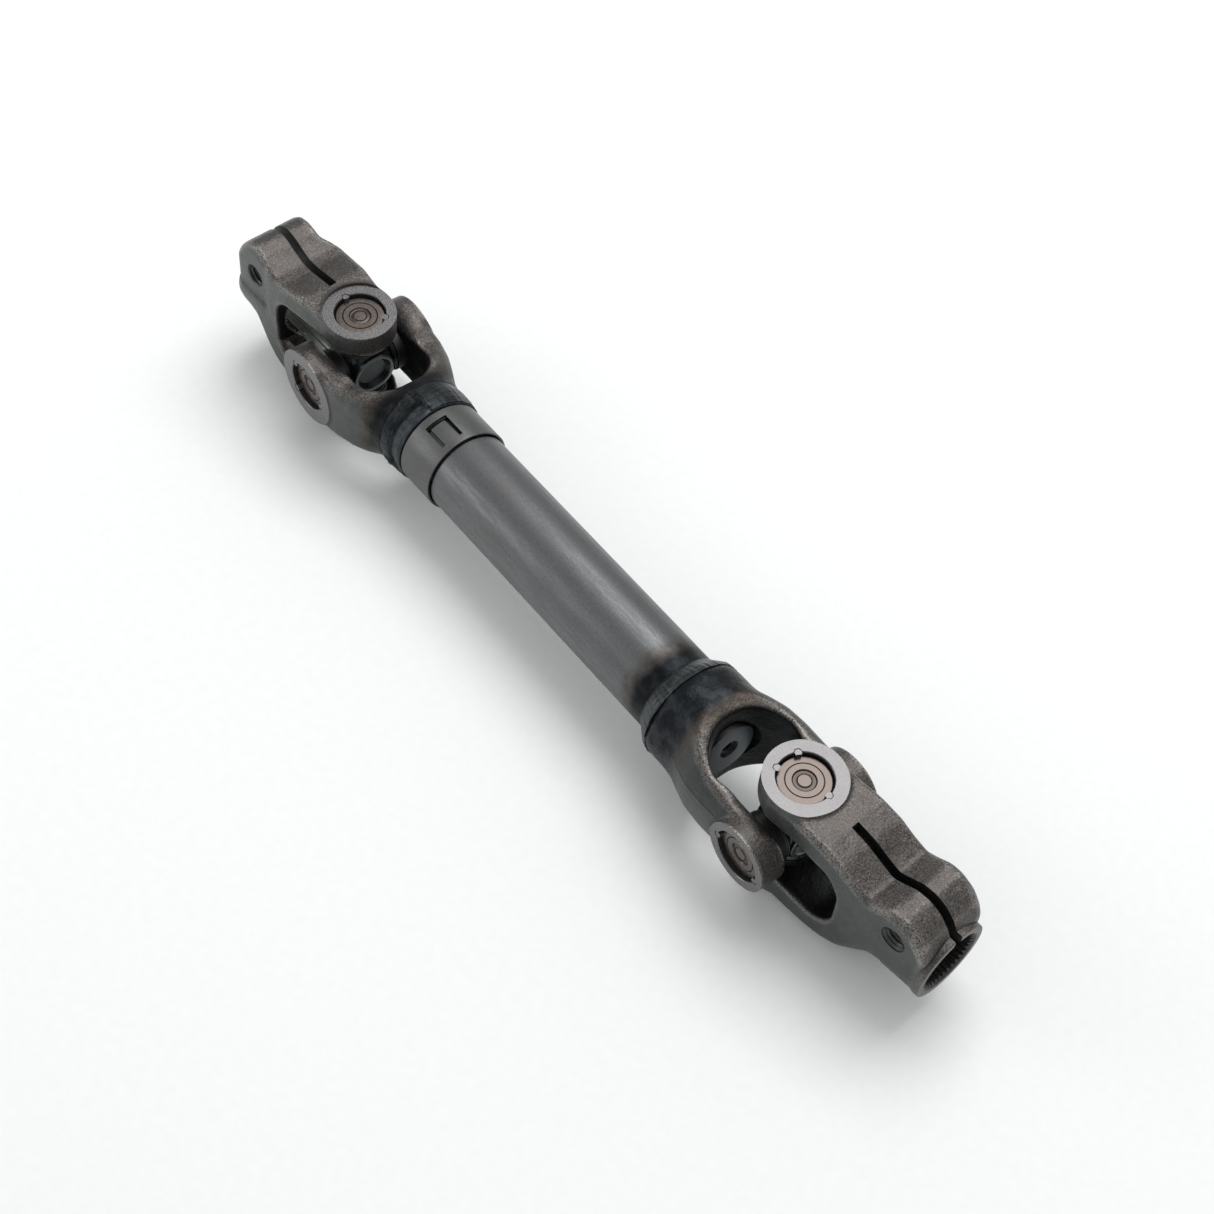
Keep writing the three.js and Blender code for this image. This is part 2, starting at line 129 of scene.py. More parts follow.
# number, tip radius, root radius, and where one tooth's root and tip start and end
SERRATIONS = (36, 8.45, 9.15, (0.0, 0.16, 0.5, 0.66))
TUBE_SPLINE = (18, 9.4, 10.3, (0.0, 0.3, 0.5, 0.8))
SHAFT_SPLINE = (18, 10.0, 9.1, (0.0, 0.3, 0.5, 0.8))

# The yokes are given in their own frame: X from the ears' axis along the yoke, the clamp
# yokes' ears above and below it and the tube yokes' ears on either side.
CLAMPS = {
    "upper": {
        "ring": 10.6, "ring_face": 20.45, "inside": 12.5, "window": 26.0, "end": 46.6,
        "slot_start": 13.2, "bolt": (37.2, 11.4), "bolt_radius": 3.8,
        "lip": 12.0, "lip_length": 1.2, "stakes": (-2, 221), "saddle": 14.5, "lug": (10.2, 1.7),
        # x, half width, top, bottom, top corner, bottom corner
        "stations": [
            (0, 10.4, 20.2, -20.2, 2.0, 2.0), (9, 11.0, 20.8, -20.6, 2.0, 2.0),
            (14, 11.7, 20.9, -20.6, 2.0, 2.2), (19, 12.2, 19.8, -20.2, 2.0, 2.6),
            (23, 12.4, 19.0, -19.8, 2.0, 3.2), (27, 12.4, 18.9, -19.2, 2.2, 4.5),
            (31, 12.4, 20.4, -17.4, 2.4, 6.5), (34, 12.4, 21.9, -15.4, 2.6, 9.0),
            (37.5, 12.4, 22.6, -13.2, 2.8, 11.5), (41, 12.4, 21.6, -12.3, 3.0, 12.1),
            (44, 12.3, 19.0, -12.2, 3.2, 12.0), (46.6, 12.1, 15.0, -12.0, 3.2, 11.8),
        ],
    },
    "lower": {
        "ring": 11.1, "ring_face": 20.45, "inside": 11.4, "window": 24.2, "end": 53.8,
        "slot_start": 17.2, "bolt": (42.7, 10.6), "bolt_radius": 3.5,
        "lip": 11.85, "lip_length": 1.9, "stakes": (148, 206, 6), "saddle": None, "lug": None,
        "stations": [
            (0, 10.9, 19.8, -19.8, 2.0, 2.0), (10, 11.2, 19.9, -19.9, 2.0, 2.0),
            (17, 11.5, 19.7, -19.5, 2.0, 2.8), (23, 11.6, 18.5, -18.6, 2.0, 3.2),
            (28, 11.6, 16.4, -16.9, 2.2, 4.5), (32.5, 11.6, 14.8, -14.4, 2.4, 7.5),
            (36, 11.6, 16.6, -12.4, 2.4, 10.5), (39.5, 11.6, 18.5, -11.7, 2.4, 11.5),
            (43.5, 11.6, 18.9, -11.6, 2.6, 11.5), (47.5, 11.6, 17.4, -11.6, 3.0, 11.5),
            (50.2, 11.5, 14.6, -11.5, 3.4, 11.4), (52.2, 11.2, 11.4, -11.2, 3.8, 11.1),
        ],
    },
}

TUBE_YOKES = {
    "upper": {
        "ring": 11.7, "ring_face": 19.5, "inside": 11.3, "flare": 9.4, "crease": None,
        "throat": 26.0, "throat_half": 11.3, "throat_corner": 9.5, "stakes": (133, -17, 222),
        # x, half width, half height, corner
        "stations": [
            (0, 19.2, 11.6, 2.4), (8, 19.3, 10.6, 2.6), (15, 18.9, 10.2, 3.4),
            (20, 17.8, 11.0, 5.0), (24, 16.4, 12.4, 8.0), (28, 14.9, 13.6, 12.6),
            (31.5, 14.3, 14.2, 14.0),
        ],
    },
    "lower": {
        "ring": 9.9, "ring_face": 19.5, "inside": 11.3, "flare": 8.2, "crease": 4.6,
        "throat": 27.8, "throat_half": 13.2, "throat_corner": 12.4, "stakes": (171, -15, 80),
        "stations": [
            (0, 19.1, 10.2, 2.4), (9, 19.1, 10.0, 2.6), (17, 19.3, 10.8, 3.4),
            (23, 18.8, 12.6, 5.0), (27, 17.6, 14.4, 8.0), (31, 16.4, 15.8, 13.0),
            (34, 16.3, 16.3, 16.0), (40.6, 16.3, 16.3, 16.0), (42.6, 15.4, 15.4, 15.2),
        ],
    },
}

# ----------------------------------------------------------- distance fields


def eased(x, xs, ys, reach=1.8):
    """The broken line through (xs, ys) read at x, its corners rounded over reach."""
    offsets = np.linspace(-reach, reach, 9)
    weights = 1 + np.cos(offsets / reach * pi)
    total = sum(w * np.interp(x + o, xs, ys) for o, w in zip(offsets, weights))
    return (total / weights.sum()).astype(np.float32)


def soft_max(a, b, r):
    """Where a and b meet, an edge rounded by about r."""
    h = np.maximum(r - np.abs(a - b), 0) / r
    return np.maximum(a, b) + h * h * r / 4


def soft_min(a, b, r):
    return -soft_max(-a, -b, r)


def rounded_box(u, v, half_u, half_v, corner):
    qu = np.abs(u) - half_u + corner
    qv = np.abs(v) - half_v + corner
    outside = np.hypot(np.maximum(qu, 0), np.maximum(qv, 0))
    return np.minimum(np.maximum(qu, qv), 0) + outside - corner


def waviness(x, y, z, seed, size):
    """Smooth low hills, as a die leaves them; size is their height."""
    draws = np.random.default_rng(seed)
    total = 0
    for _ in range(10):
        k = draws.normal(size=3)
        k *= 2 * pi / draws.uniform(5, 14) / np.linalg.norm(k)
        total = total + np.sin(k[0] * x + k[1] * y + k[2] * z + draws.uniform(0, 2 * pi))
    return total * size / 4


class Field:
    """A distance field sampled on a grid, with the low corner and step in mm."""

    def __init__(self, distance, low, high, step):
        self.low = np.array(low, float)
        self.step = step
        axes = [np.arange(a, b, step, dtype=np.float32) for a, b in zip(low, high)]
        x, y, z = np.meshgrid(*axes, indexing="ij", sparse=True)
        self.values = np.ascontiguousarray(distance(x, y, z), dtype=np.float32)

    def skin(self):
        band = 3 * self.step
        grid = openvdb.FloatGrid(band)
        grid.copyFromArray(np.clip(self.values, -band, band))
        points, quads = grid.convertToQuads()
        return points * self.step + self.low, quads

    def blurred(self, reach):
        """Box blur over reach mm each way."""
        n = max(1, round(reach / self.step))
        out = self.values.astype(np.float64)
        for axis in range(3):
            padded = np.pad(out, [(n + 1, n) if a == axis else (0, 0) for a in range(3)], "edge")
            run = np.cumsum(padded, axis)
            ahead = np.take(run, range(2 * n + 1, run.shape[axis]), axis)
            behind = np.take(run, range(0, run.shape[axis] - 2 * n - 1), axis)
            out = (ahead - behind) / (2 * n + 1)
        return out

    def sample(self, values, points):
        at = (points - self.low) / self.step
        top = np.array(values.shape) - 1.001
        at = np.clip(at, 0, top)
        cell = at.astype(int)
        part = at - cell
        total = 0
        for corner in np.ndindex(2, 2, 2):
            weight = np.prod(np.where(corner, part, 1 - part), axis=1)
            i, j, k = (cell + corner).T
            total = total + weight * values[i, j, k]
        return total


# ------------------------------------------------------------- mesh helpers


def new_object(name, vertices, faces, scale=MM):
    mesh = bpy.data.meshes.new(name)
    mesh.from_pydata([tuple(v) for v in np.asarray(vertices, float) * scale], [], faces)
    mesh.validate()
    obj = bpy.data.objects.new(name, mesh)
    bpy.context.scene.collection.objects.link(obj)
    return obj


def fix_normals(obj):
    shape = bmesh.new()
    shape.from_mesh(obj.data)
    bmesh.ops.recalc_face_normals(shape, faces=shape.faces)
    shape.to_mesh(obj.data)
    shape.free()
    return obj


def apply_modifiers(obj):
    graph = bpy.context.evaluated_depsgraph_get()
    mesh = bpy.data.meshes.new_from_object(obj.evaluated_get(graph))
    obj.modifiers.clear()
    old, obj.data = obj.data, mesh
    bpy.data.meshes.remove(old)


def boolean(target, tool, operation="DIFFERENCE"):
    """Cuts, joins or keeps, and uses the tool up."""
    modifier = target.modifiers.new("boolean", "BOOLEAN")
    modifier.operation = operation
    modifier.solver = "MANIFOLD"
    modifier.object = tool
    apply_modifiers(target)
    bpy.data.objects.remove(tool)
    return target


def rounded_outline(points, steps=5):
    """Rounds each corner given as (along, radius, fillet) by an arc."""
    out = []
    count = len(points)
    for i, point in enumerate(points):
        if len(point) == 2 or point[2] == 0:
            out.append(Vector(point[:2]))
            continue
        here = Vector(point[:2])
        before = Vector(points[i - 1][:2]) - here
        after = Vector(points[(i + 1) % count][:2]) - here
        turn = before.angle(after)
        reach = min(point[2] / math.tan(turn / 2), before.length * 0.49, after.length * 0.49)
        start = here + before.normalized() * reach
        end = here + after.normalized() * reach
        for k in range(steps + 1):
            t = k / steps
            out.append(start * (1 - t) ** 2 + here * 2 * t * (1 - t) + end * t * t)
    return out


def lathe(name, outline, axis="x", segments=96, radius_at=None, steps=5):
    """Solid of revolution of an outline [(along, radius[, fillet])] about an axis.

    An outline that starts and ends at radius 0 is closed there, any other closes on
    itself. radius_at(along, radius, angle) may change a point's radius round the turn.
    """
    points = rounded_outline(outline, steps)
    closed = points[0].y < 1e-6 and points[-1].y < 1e-6
    vertices = []
    rings = []
    for along, radius in points:
        if radius < 1e-6:
            rings.append([len(vertices)])
            vertices.append((along, 0.0, 0.0))
            continue
        rings.append(list(range(len(vertices), len(vertices) + segments)))
        for k in range(segments):
            a = 2 * pi * k / segments
            r = radius_at(along, radius, a) if radius_at else radius
            vertices.append((along, r * cos(a), r * sin(a)))
    faces = []
    pairs = list(zip(rings, rings[1:])) + ([] if closed else [(rings[-1], rings[0])])
    for low, high in pairs:
        for k in range(segments):
            n = (k + 1) % segments
            face = [low[k % len(low)], low[n % len(low)], high[n % len(high)], high[k % len(high)]]
            face = list(dict.fromkeys(face))
            if len(face) > 2:
                faces.append(face)
    turned = {
        "x": lambda v: v,
        "y": lambda v: (v[1], v[0], -v[2]),
        "z": lambda v: (-v[2], v[1], v[0]),
    }[axis]
    return fix_normals(new_object(name, [turned(v) for v in vertices], faces))


def box(x0, x1, y0, y1, z0, z1):
    vertices = [(x, y, z) for x in (x0, x1) for y in (y0, y1) for z in (z0, z1)]
    faces = [(0, 1, 3, 2), (4, 6, 7, 5), (0, 4, 5, 1), (2, 3, 7, 6), (0, 2, 6, 4), (1, 5, 7, 3)]
    return fix_normals(new_object("box", vertices, faces))


def prism(outline, start, end):
    """Closed outline in YZ standing along X."""
    count = len(outline)
    vertices = [(x, y, z) for x in (start, end) for y, z in outline]
    faces = [list(range(count)), list(range(2 * count - 1, count - 1, -1))]
    faces += [[i, (i + 1) % count, count + (i + 1) % count, count + i] for i in range(count)]
    return fix_normals(new_object("prism", vertices, faces))


def moved(obj, matrix):
    """Turns or shifts a mesh; the matrix is in mm."""
    scaled = matrix.copy()
    scaled.translation = matrix.translation * MM
    obj.data.transform(scaled)
    return obj


def at(x=0, y=0, z=0):
    return Matrix.Translation((x, y, z))


def turned(angle, axis):
    return Matrix.Rotation(radians(angle), 4, axis)


def set_attribute(obj, name, values):
    attribute = obj.data.attributes.new(name, "FLOAT", "POINT")
    attribute.data.foreach_set("value", np.asarray(values, np.float32))


def read(items, name, width=1, kind=np.int32):
    """One property of every vertex, edge, face or corner of a mesh, as an array."""
    values = np.empty(len(items) * width, kind)
    items.foreach_get(name, values)
    return values.reshape(-1, width) if width > 1 else values


def corner_arrays(obj):
    """Vertex positions in mm, face centres in mm and face normals."""
    mesh = obj.data
    points = read(mesh.vertices, "co", 3, np.float32)
    centre = read(mesh.polygons, "center", 3, np.float32)
    return points / MM, centre / MM, read(mesh.polygons, "normal", 3, np.float32)


def split_shading(obj):
    """Keeps each face group's shading its own: sharp edges where materials meet."""
    mesh = obj.data
    edges = read(mesh.loops, "edge_index")
    groups = read(mesh.polygons, "material_index")
    groups = np.repeat(groups, read(mesh.polygons, "loop_total"))
    low = np.full(len(mesh.edges), len(mesh.materials))
    high = np.full(len(mesh.edges), -1)
    np.minimum.at(low, edges, groups)
    np.maximum.at(high, edges, groups)
    sharp = mesh.attributes.get("sharp_edge")
    sharp = sharp or mesh.attributes.new("sharp_edge", "BOOLEAN", "EDGE")
    flags = read(sharp.data, "value", 1, bool)
    sharp.data.foreach_set("value", flags | (low != high))


def finish_piece(obj, name, place, body, replaces, materials, sharp=32):
    """Names, shades and places a piece, and ties it to its body."""
    obj.name = name
    obj.data.name = name
    indices = read(obj.data.polygons, "material_index")
    obj.data.materials.clear()
    for material in materials:
        obj.data.materials.append(material)
    obj.data.polygons.foreach_set("material_index", indices)
    obj.data.shade_smooth()
    obj.data.set_sharp_from_angle(angle=radians(sharp))
    if len(materials) > 1:
        split_shading(obj)
    obj.matrix_world = place
    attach(obj, body)
    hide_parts(*replaces)
    return obj


# ---------------------------------------------------------------- materials


class Look:
    """A node material under construction; each call adds a node and returns its output."""

    def __init__(self, name, roughness=0.5, metallic=0.0):
        self.material = bpy.data.materials.new(name)
        self.material.use_nodes = True
        self.tree = self.material.node_tree
        self.shader = self.tree.nodes["Principled BSDF"]
        self.shader.inputs["Roughness"].default_value = roughness
        self.shader.inputs["Metallic"].default_value = metallic
        self.place = self.add("ShaderNodeTexCoord").outputs["Object"]

    def add(self, kind, **inputs):
        node = self.tree.nodes.new(kind)
        for key, value in inputs.items():
            self.feed(node.inputs[key.replace("_", " ")], value)
        return node

    def feed(self, socket, value):
        if isinstance(value, bpy.types.NodeSocket):
            self.tree.links.new(value, socket)
        else:
            socket.default_value = value

    def noise(self, size, detail=2.0, roughness=0.5, stretch=(1, 1, 1), distortion=0.0):
        """Noise whose grains are about size mm across."""
        mapping = self.add("ShaderNodeMapping", Vector=self.place, Scale=stretch)
        node = self.add(
            "ShaderNodeTexNoise", Vector=mapping.outputs[0], Scale=1 / (size * MM),
            Detail=detail, Roughness=roughness, Distortion=distortion,
        )
        return node.outputs["Fac"]

    def math(self, operation, a, b=0.0, clamp=False):
        node = self.tree.nodes.new("ShaderNodeMath")
        node.operation = operation
        node.use_clamp = clamp
        self.feed(node.inputs[0], a)
        self.feed(node.inputs[1], b)
        return node.outputs[0]

    def times(self, a, b, clamp=False):
        return self.math("MULTIPLY", a, b, clamp)

    def span(self, value, low, high, to_low=0.0, to_high=1.0):
        node = self.add("ShaderNodeMapRange", Value=value)
        node.interpolation_type = "SMOOTHSTEP"
        for key, number in zip(("From Min", "From Max", "To Min", "To Max"),
                               (low, high, to_low, to_high)):
            node.inputs[key].default_value = number
        return node.outputs[0]

    def mix(self, share, a, b, blend="MIX"):
        node = self.tree.nodes.new("ShaderNodeMix")
        node.data_type = "RGBA"
        node.blend_type = blend
        self.feed(node.inputs["Factor"], share)
        for key, value in (("A", a), ("B", b)):
            socket = [s for s in node.inputs if s.name == key and s.type == "RGBA"][0]
            self.feed(socket, value if isinstance(value, bpy.types.NodeSocket) else (*value, 1))
        return [s for s in node.outputs if s.type == "RGBA"][0]

    def ramp(self, value, stops):
        node = self.add("ShaderNodeValToRGB", Fac=value)
        elements = node.color_ramp.elements
        while len(elements) < len(stops):
            elements.new(0.5)
        for element, (position, colour) in zip(elements, stops):
            element.position = position
            element.color = (*colour, 1)
        return node.outputs["Color"]

    def attribute(self, name):
        node = self.add("ShaderNodeAttribute")
        node.attribute_name = name
        return node.outputs["Fac"]

    def along(self, axis="X"):
        """The place along an axis, in mm."""
        node = self.add("ShaderNodeSeparateXYZ", Vector=self.place)
        return self.math("DIVIDE", node.outputs[axis], MM)

    def radius(self, axis):
        """Distance from the piece's axis, in mm."""
        node = self.add("ShaderNodeSeparateXYZ", Vector=self.place)
        across = [node.outputs[k] for k in "XYZ" if k != axis.upper()]
        squares = [self.times(value, value) for value in across]
        return self.math("DIVIDE", self.math("SQRT", self.math("ADD", *squares)), MM)

    def bump(self, height, depth, strength=1.0, normal=None):
        """Bumps of the given depth in mm where height is 1."""
        node = self.add("ShaderNodeBump", Height=height, Distance=depth * MM, Strength=strength)
        if normal:
            self.feed(node.inputs["Normal"], normal)
        return node.outputs["Normal"]

    def done(self, colour=None, roughness=None, normal=None):
        for key, value in (("Base Color", colour), ("Roughness", roughness), ("Normal", normal)):
            if value is not None:
                self.feed(self.shader.inputs[key], value)
        return self.material


def heat_tint(look, base, straw, blue, strength=1.0):
    """Oxide colours of a weld over base: brown from `straw` mm on, blue-black by `blue`."""
    wander = look.times(look.math("SUBTRACT", look.noise(6.0, 3), 0.5), 3.5)
    place = look.math("ADD", look.along("X"), wander)
    middle = straw * 0.45 + blue * 0.55
    brown = look.times(look.span(place, straw, middle), look.noise(2.5, 2))
    tinted = look.mix(look.times(brown, 1.1, True), base, (0.046, 0.030, 0.019))
    pale = [(0.030 + 0.012 * k) * strength for k in (0, 0.4, 0.8)]
    deep = [0.006 * strength, 0.008 * strength, 0.011 * strength]
    blued = look.mix(look.span(look.noise(4.0, 3, 0.6), 0.42, 0.72), deep, pale)
    return look.mix(look.span(place, middle - (blue - straw) * 0.15, blue), tinted, blued)


def forged(name, straw=None, blue=None, darkest=1.0, crease=None):
    """Shot-blasted forging: browner and coarser on top, smoother on its sides; its hollows, crease line
    and inner window and throat faces darkened as painted shade.
    """
    look = Look(name, metallic=0.78)
    wear_and_hollow_shade = look.attribute("wear_and_hollow_shade")
    side = look.attribute("side")
    grain = look.noise(0.42, 2, 0.6)
    cloud = look.noise(6.0, 3, 0.6)
    top = look.ramp(grain, [(0.32, (0.050, 0.043, 0.040)), (0.52, (0.092, 0.082, 0.076)),
                            (0.70, (0.190, 0.172, 0.162))])
    flank = look.ramp(grain, [(0.25, (0.054, 0.060, 0.057)), (0.75, (0.108, 0.116, 0.111))])
    colour = look.mix(side, top, flank)
    if crease:
        # the parting line: a painted shadow line along the crease, and the sides darker above it
        height = look.math("SUBTRACT", look.math("ABSOLUTE", look.along("Z")), crease)
        above = look.times(look.span(height, -0.1, 0.2), look.span(side, 0.5, 0.95))
        colour = look.mix(look.times(above, 0.55), colour, (0.020, 0.022, 0.022))
        # painted shadow: a near-black band along the crease on the sides
        crease_shadow = look.span(look.math("ABSOLUTE", height), 0.12, 0.34, 1.0, 0.0)
        crease_shadow = look.times(crease_shadow, look.span(side, 0.6, 0.9))
        colour = look.mix(look.times(crease_shadow, 0.9), colour, (0.006, 0.007, 0.007))
    colour = look.mix(look.span(cloud, 0.40, 0.70, 0, 0.45), colour, (0.060, 0.058, 0.056))
    # edge wear: lighter flecks where the field bulges outwards
    lighter = look.times(look.span(wear_and_hollow_shade, 0.03, 0.20), look.span(grain, 0.35, 0.6))
    colour = look.mix(look.times(lighter, 0.8), colour, (0.34, 0.32, 0.30))
    # painted shade: where the field hollows inwards the forging is darkened, as shade would fall there
    hollow_shade = look.span(look.times(wear_and_hollow_shade, -1.0), 0.02, 0.25)
    colour = look.mix(look.times(hollow_shade, 0.85), colour, (0.012, 0.013, 0.014))
    if straw:
        colour = heat_tint(look, colour, straw, blue, darkest)
    # painted shade: faces inside the windows and throats darkened towards black
    inner = look.times(look.attribute("inner"), 0.88)
    colour = look.mix(inner, colour, (0.007, 0.009, 0.011))
    roughness = look.span(grain, 0.3, 0.7, 0.34, 0.50)
    dents = look.bump(look.noise(2.6, 2, 0.5), 0.24)
    pits = look.bump(look.noise(0.75, 3, 0.6), 0.13, 1.0, dents)
    normal = look.bump(grain, 0.06, 0.9, pits)
    return look.done(colour, roughness, normal)


def machined(name, light, dark, roughness, grain=0.5):
    """Ground or faced steel, faintly mottled, with fine scratches."""
    look = Look(name, metallic=0.85)
    mottle = look.noise(grain, 4, 0.65)
    cloud = look.noise(4.0, 2)
    colour = look.ramp(mottle, [(0.3, dark), (0.7, light)])
    colour = look.mix(look.span(cloud, 0.3, 0.7, 0.0, 0.25), colour, dark)
    scratch = look.noise(0.3, 2, 0.5, stretch=(1, 14, 1))
    normal = look.bump(look.math("ADD", scratch, mottle), 0.008)
    return look.done(colour, look.span(mottle, 0.3, 0.7, roughness, roughness + 0.12), normal)


def turned_steel(name, light, dark, roughness, axis, pitch=0.35, metallic=0.85):
    """Steel with the fine rings that turning or drawing leaves round an axis."""
    look = Look(name, metallic=metallic)
    radius = look.radius(axis)
    rings = look.math("SINE", look.times(radius, 2 * pi / pitch))
    mottle = look.noise(0.8, 4, 0.6)
    value = look.math("ADD", look.times(rings, 0.06), mottle)
    colour = look.ramp(value, [(0.3, dark), (0.72, light)])
    normal = look.bump(value, 0.006)
    return look.done(colour, look.span(mottle, 0.3, 0.7, roughness, roughness + 0.1), normal)


def tube_steel():
    look = Look("tube_steel", metallic=0.8)
    fleck = look.noise(0.5, 4, 0.7)
    streak = look.noise(1.2, 4, 0.6, stretch=(0.12, 1, 1))
    cloud = look.noise(9.0, 3)
    colour = look.ramp(fleck, [(0.3, (0.100, 0.104, 0.106)), (0.7, (0.165, 0.168, 0.172))])
    colour = look.mix(look.span(streak, 0.35, 0.75, 0, 0.35), colour, (0.090, 0.096, 0.095))
    colour = look.mix(look.span(cloud, 0.4, 0.7, 0, 0.5), colour, (0.125, 0.118, 0.120))
    colour = heat_tint(look, colour, 141.0, 149.0, 0.55)
    roughness = look.span(streak, 0.3, 0.7, 0.34, 0.46)
    normal = look.bump(look.math("ADD", fleck, streak), 0.014)
    return look.done(colour, roughness, normal)


def cap_steel():
    look = Look("cap_steel", metallic=0.8)
    fleck = look.noise(0.4, 3, 0.6)
    cloud = look.noise(6.0, 3)
    colour = look.ramp(fleck, [(0.3, (0.085, 0.090, 0.088)), (0.7, (0.135, 0.138, 0.136))])
    colour = look.mix(look.span(cloud, 0.35, 0.7, 0, 0.6), colour, (0.120, 0.110, 0.110))
    normal = look.bump(fleck, 0.010)
    return look.done(colour, look.span(cloud, 0.3, 0.7, 0.36, 0.46), normal)


def blued_steel():
    """Steel blackened by weld heat."""
    look = Look("blued_steel", metallic=0.75)
    cloud = look.noise(2.4, 4, 0.6)
    fleck = look.noise(0.5, 3)
    colour = look.ramp(cloud, [(0.3, (0.014, 0.018, 0.022)), (0.55, (0.040, 0.048, 0.056)),
                               (0.8, (0.085, 0.085, 0.082))])
    normal = look.bump(fleck, 0.05)
    return look.done(colour, look.span(fleck, 0.3, 0.7, 0.40, 0.55), normal)


def weld_metal(name, pale, deep, depth):
    """Weld bead: arcs run round the shaft, over a dark skin."""
    look = Look(name, metallic=0.75)
    arcs = look.noise(1.6, 3, 0.55, stretch=(3.5, 0.5, 0.5), distortion=0.6)
    cloud = look.noise(5.0, 2)
    colour = look.ramp(arcs, [(0.38, deep), (0.60, [0.5 * (a + b) for a, b in zip(pale, deep)]),
                              (0.78, pale)])
    colour = look.mix(look.span(cloud, 0.45, 0.7, 0, 0.8), colour, deep)
    normal = look.bump(arcs, depth)
    return look.done(colour, look.span(arcs, 0.3, 0.7, 0.28, 0.42), normal)


def rubber():
    look = Look("seal_rubber")
    fleck = look.noise(0.3, 3)
    colour = look.ramp(fleck, [(0.3, (0.008, 0.008, 0.009)), (0.7, (0.018, 0.018, 0.019))])
    return look.done(colour, look.span(fleck, 0.3, 0.7, 0.22, 0.36), look.bump(fleck, 0.01))


def cup_steel():
    """Warm drawn steel; the grooves and steps pressed into its closed end darkened as painted shade."""
    look = Look("cup_steel", metallic=0.9)
    radius = look.radius("Y")
    mottle = look.noise(0.8, 4, 0.6)
    fine = look.math("SINE", look.times(radius, 2 * pi / 0.3))
    value = look.math("ADD", look.times(fine, 0.05), mottle)
    colour = look.ramp(value, [(0.2, (0.098, 0.080, 0.072)), (0.8, (0.138, 0.115, 0.103))])
    # painted shade: dark rings at the radii of the pressed groove, steps, concave band and rounded rim
    rings = ((5.02, 0.16, 0.85), (2.98, 0.13, 0.85), (2.4, 0.42, 0.5), (1.8, 0.12, 0.75),
             (7.2, 0.3, 0.6))
    for middle, half, share in rings:
        away = look.math("ABSOLUTE", look.math("SUBTRACT", radius, middle))
        colour = look.mix(look.span(away, half * 0.5, half * 1.5, share, 0.0), colour,
                          (0.022, 0.018, 0.017))
    return look.done(colour, look.span(mottle, 0.3, 0.7, 0.24, 0.32), look.bump(value, 0.002))


def cross_steel():
    """Blackened forging; the rims of its bosses are turned bright-dark."""
    look = Look("cross_steel", metallic=0.7)
    fleck = look.noise(0.6, 4, 0.6)
    colour = look.ramp(fleck, [(0.3, (0.016, 0.019, 0.021)), (0.7, (0.045, 0.052, 0.054))])
    reach = look.math("ABSOLUTE", look.along("X"))
    radius = look.radius("X")
    rim = look.span(reach, 6.75, 7.05)
    floor = look.times(look.span(reach, 5.0, 5.3), look.span(radius, 4.4, 4.7, 1.0, 0.0))
    colour = look.mix(look.times(floor, 0.75), colour, (0.075, 0.085, 0.084))
    colour = look.mix(look.times(rim, 0.85), colour, (0.200, 0.225, 0.220))
    normal = look.bump(fleck, 0.03)
    return look.done(colour, look.span(fleck, 0.3, 0.7, 0.30, 0.42), normal)


FORGED = forged("forged_clamp")
FORGED_UPPER_HUB = forged("forged_upper_hub", 22.0, 28.5, 0.45)
FORGED_LOWER_HUB = forged("forged_lower_hub", 25.0, 33.0, 0.8, 4.6)
RING = machined("ring_face_steel", (0.185, 0.177, 0.179), (0.115, 0.112, 0.112), 0.22)
# painted shade: machined faces inside slots, bores, the hub and the cups' walls given a near-black steel
SHADED_CUT = machined("cut_steel_painted_shade", (0.075, 0.075, 0.072), (0.035, 0.036, 0.036), 0.42, 0.4)
# painted light: the saddle's serrations, seen through the window, brightened to a lit steel
LIT_SERRATION = machined("serration_steel_painted_light", (0.50, 0.51, 0.47), (0.30, 0.31, 0.28), 0.34, 0.4)
THREAD = machined("thread_steel", (0.10, 0.10, 0.10), (0.03, 0.03, 0.03), 0.30, 0.4)
TUBE_STEEL = tube_steel()
CAP_STEEL = cap_steel()
BLUED = blued_steel()
UPPER_WELD = weld_metal("weld_dark", (0.050, 0.060, 0.062), (0.005, 0.007, 0.009), 0.16)
LOWER_WELD = weld_metal("weld_grey", (0.085, 0.100, 0.099), (0.016, 0.020, 0.023), 0.04)
RUBBER = rubber()
CUP_STEEL = cup_steel()
CROSS_STEEL = cross_steel()
PIN_STEEL = turned_steel("roller_steel", (0.55, 0.55, 0.54), (0.40, 0.40, 0.39), 0.2, "Y")
SHIELD = turned_steel("shield_steel", (0.12, 0.13, 0.14), (0.05, 0.055, 0.06), 0.20, "Y")
SHAFT_STEEL = turned_steel("shaft_steel", (0.20, 0.21, 0.21), (0.11, 0.115, 0.12), 0.35, "X")
PLUG_STEEL = turned_steel("plug_steel", (0.105, 0.122, 0.132), (0.055, 0.066, 0.073), 0.34, "X", 0.5)

# -------------------------------------------------------------------- yokes


def columns(stations):
    return [np.array(column, float) for column in zip(*stations)]


def slot_gap(x, across, end, half, corner):
    """Distance to a slot open towards -X that ends, with round corners, at end."""
    reach = end + 40
    return rounded_box(x - end + reach / 2, across, reach / 2, half, corner)


def throat_gap(spec, x, y):
    half = eased(x, [8, 17], [spec["inside"], spec["throat_half"]])
    return slot_gap(x, y, spec["throat"], half, spec["throat_corner"])


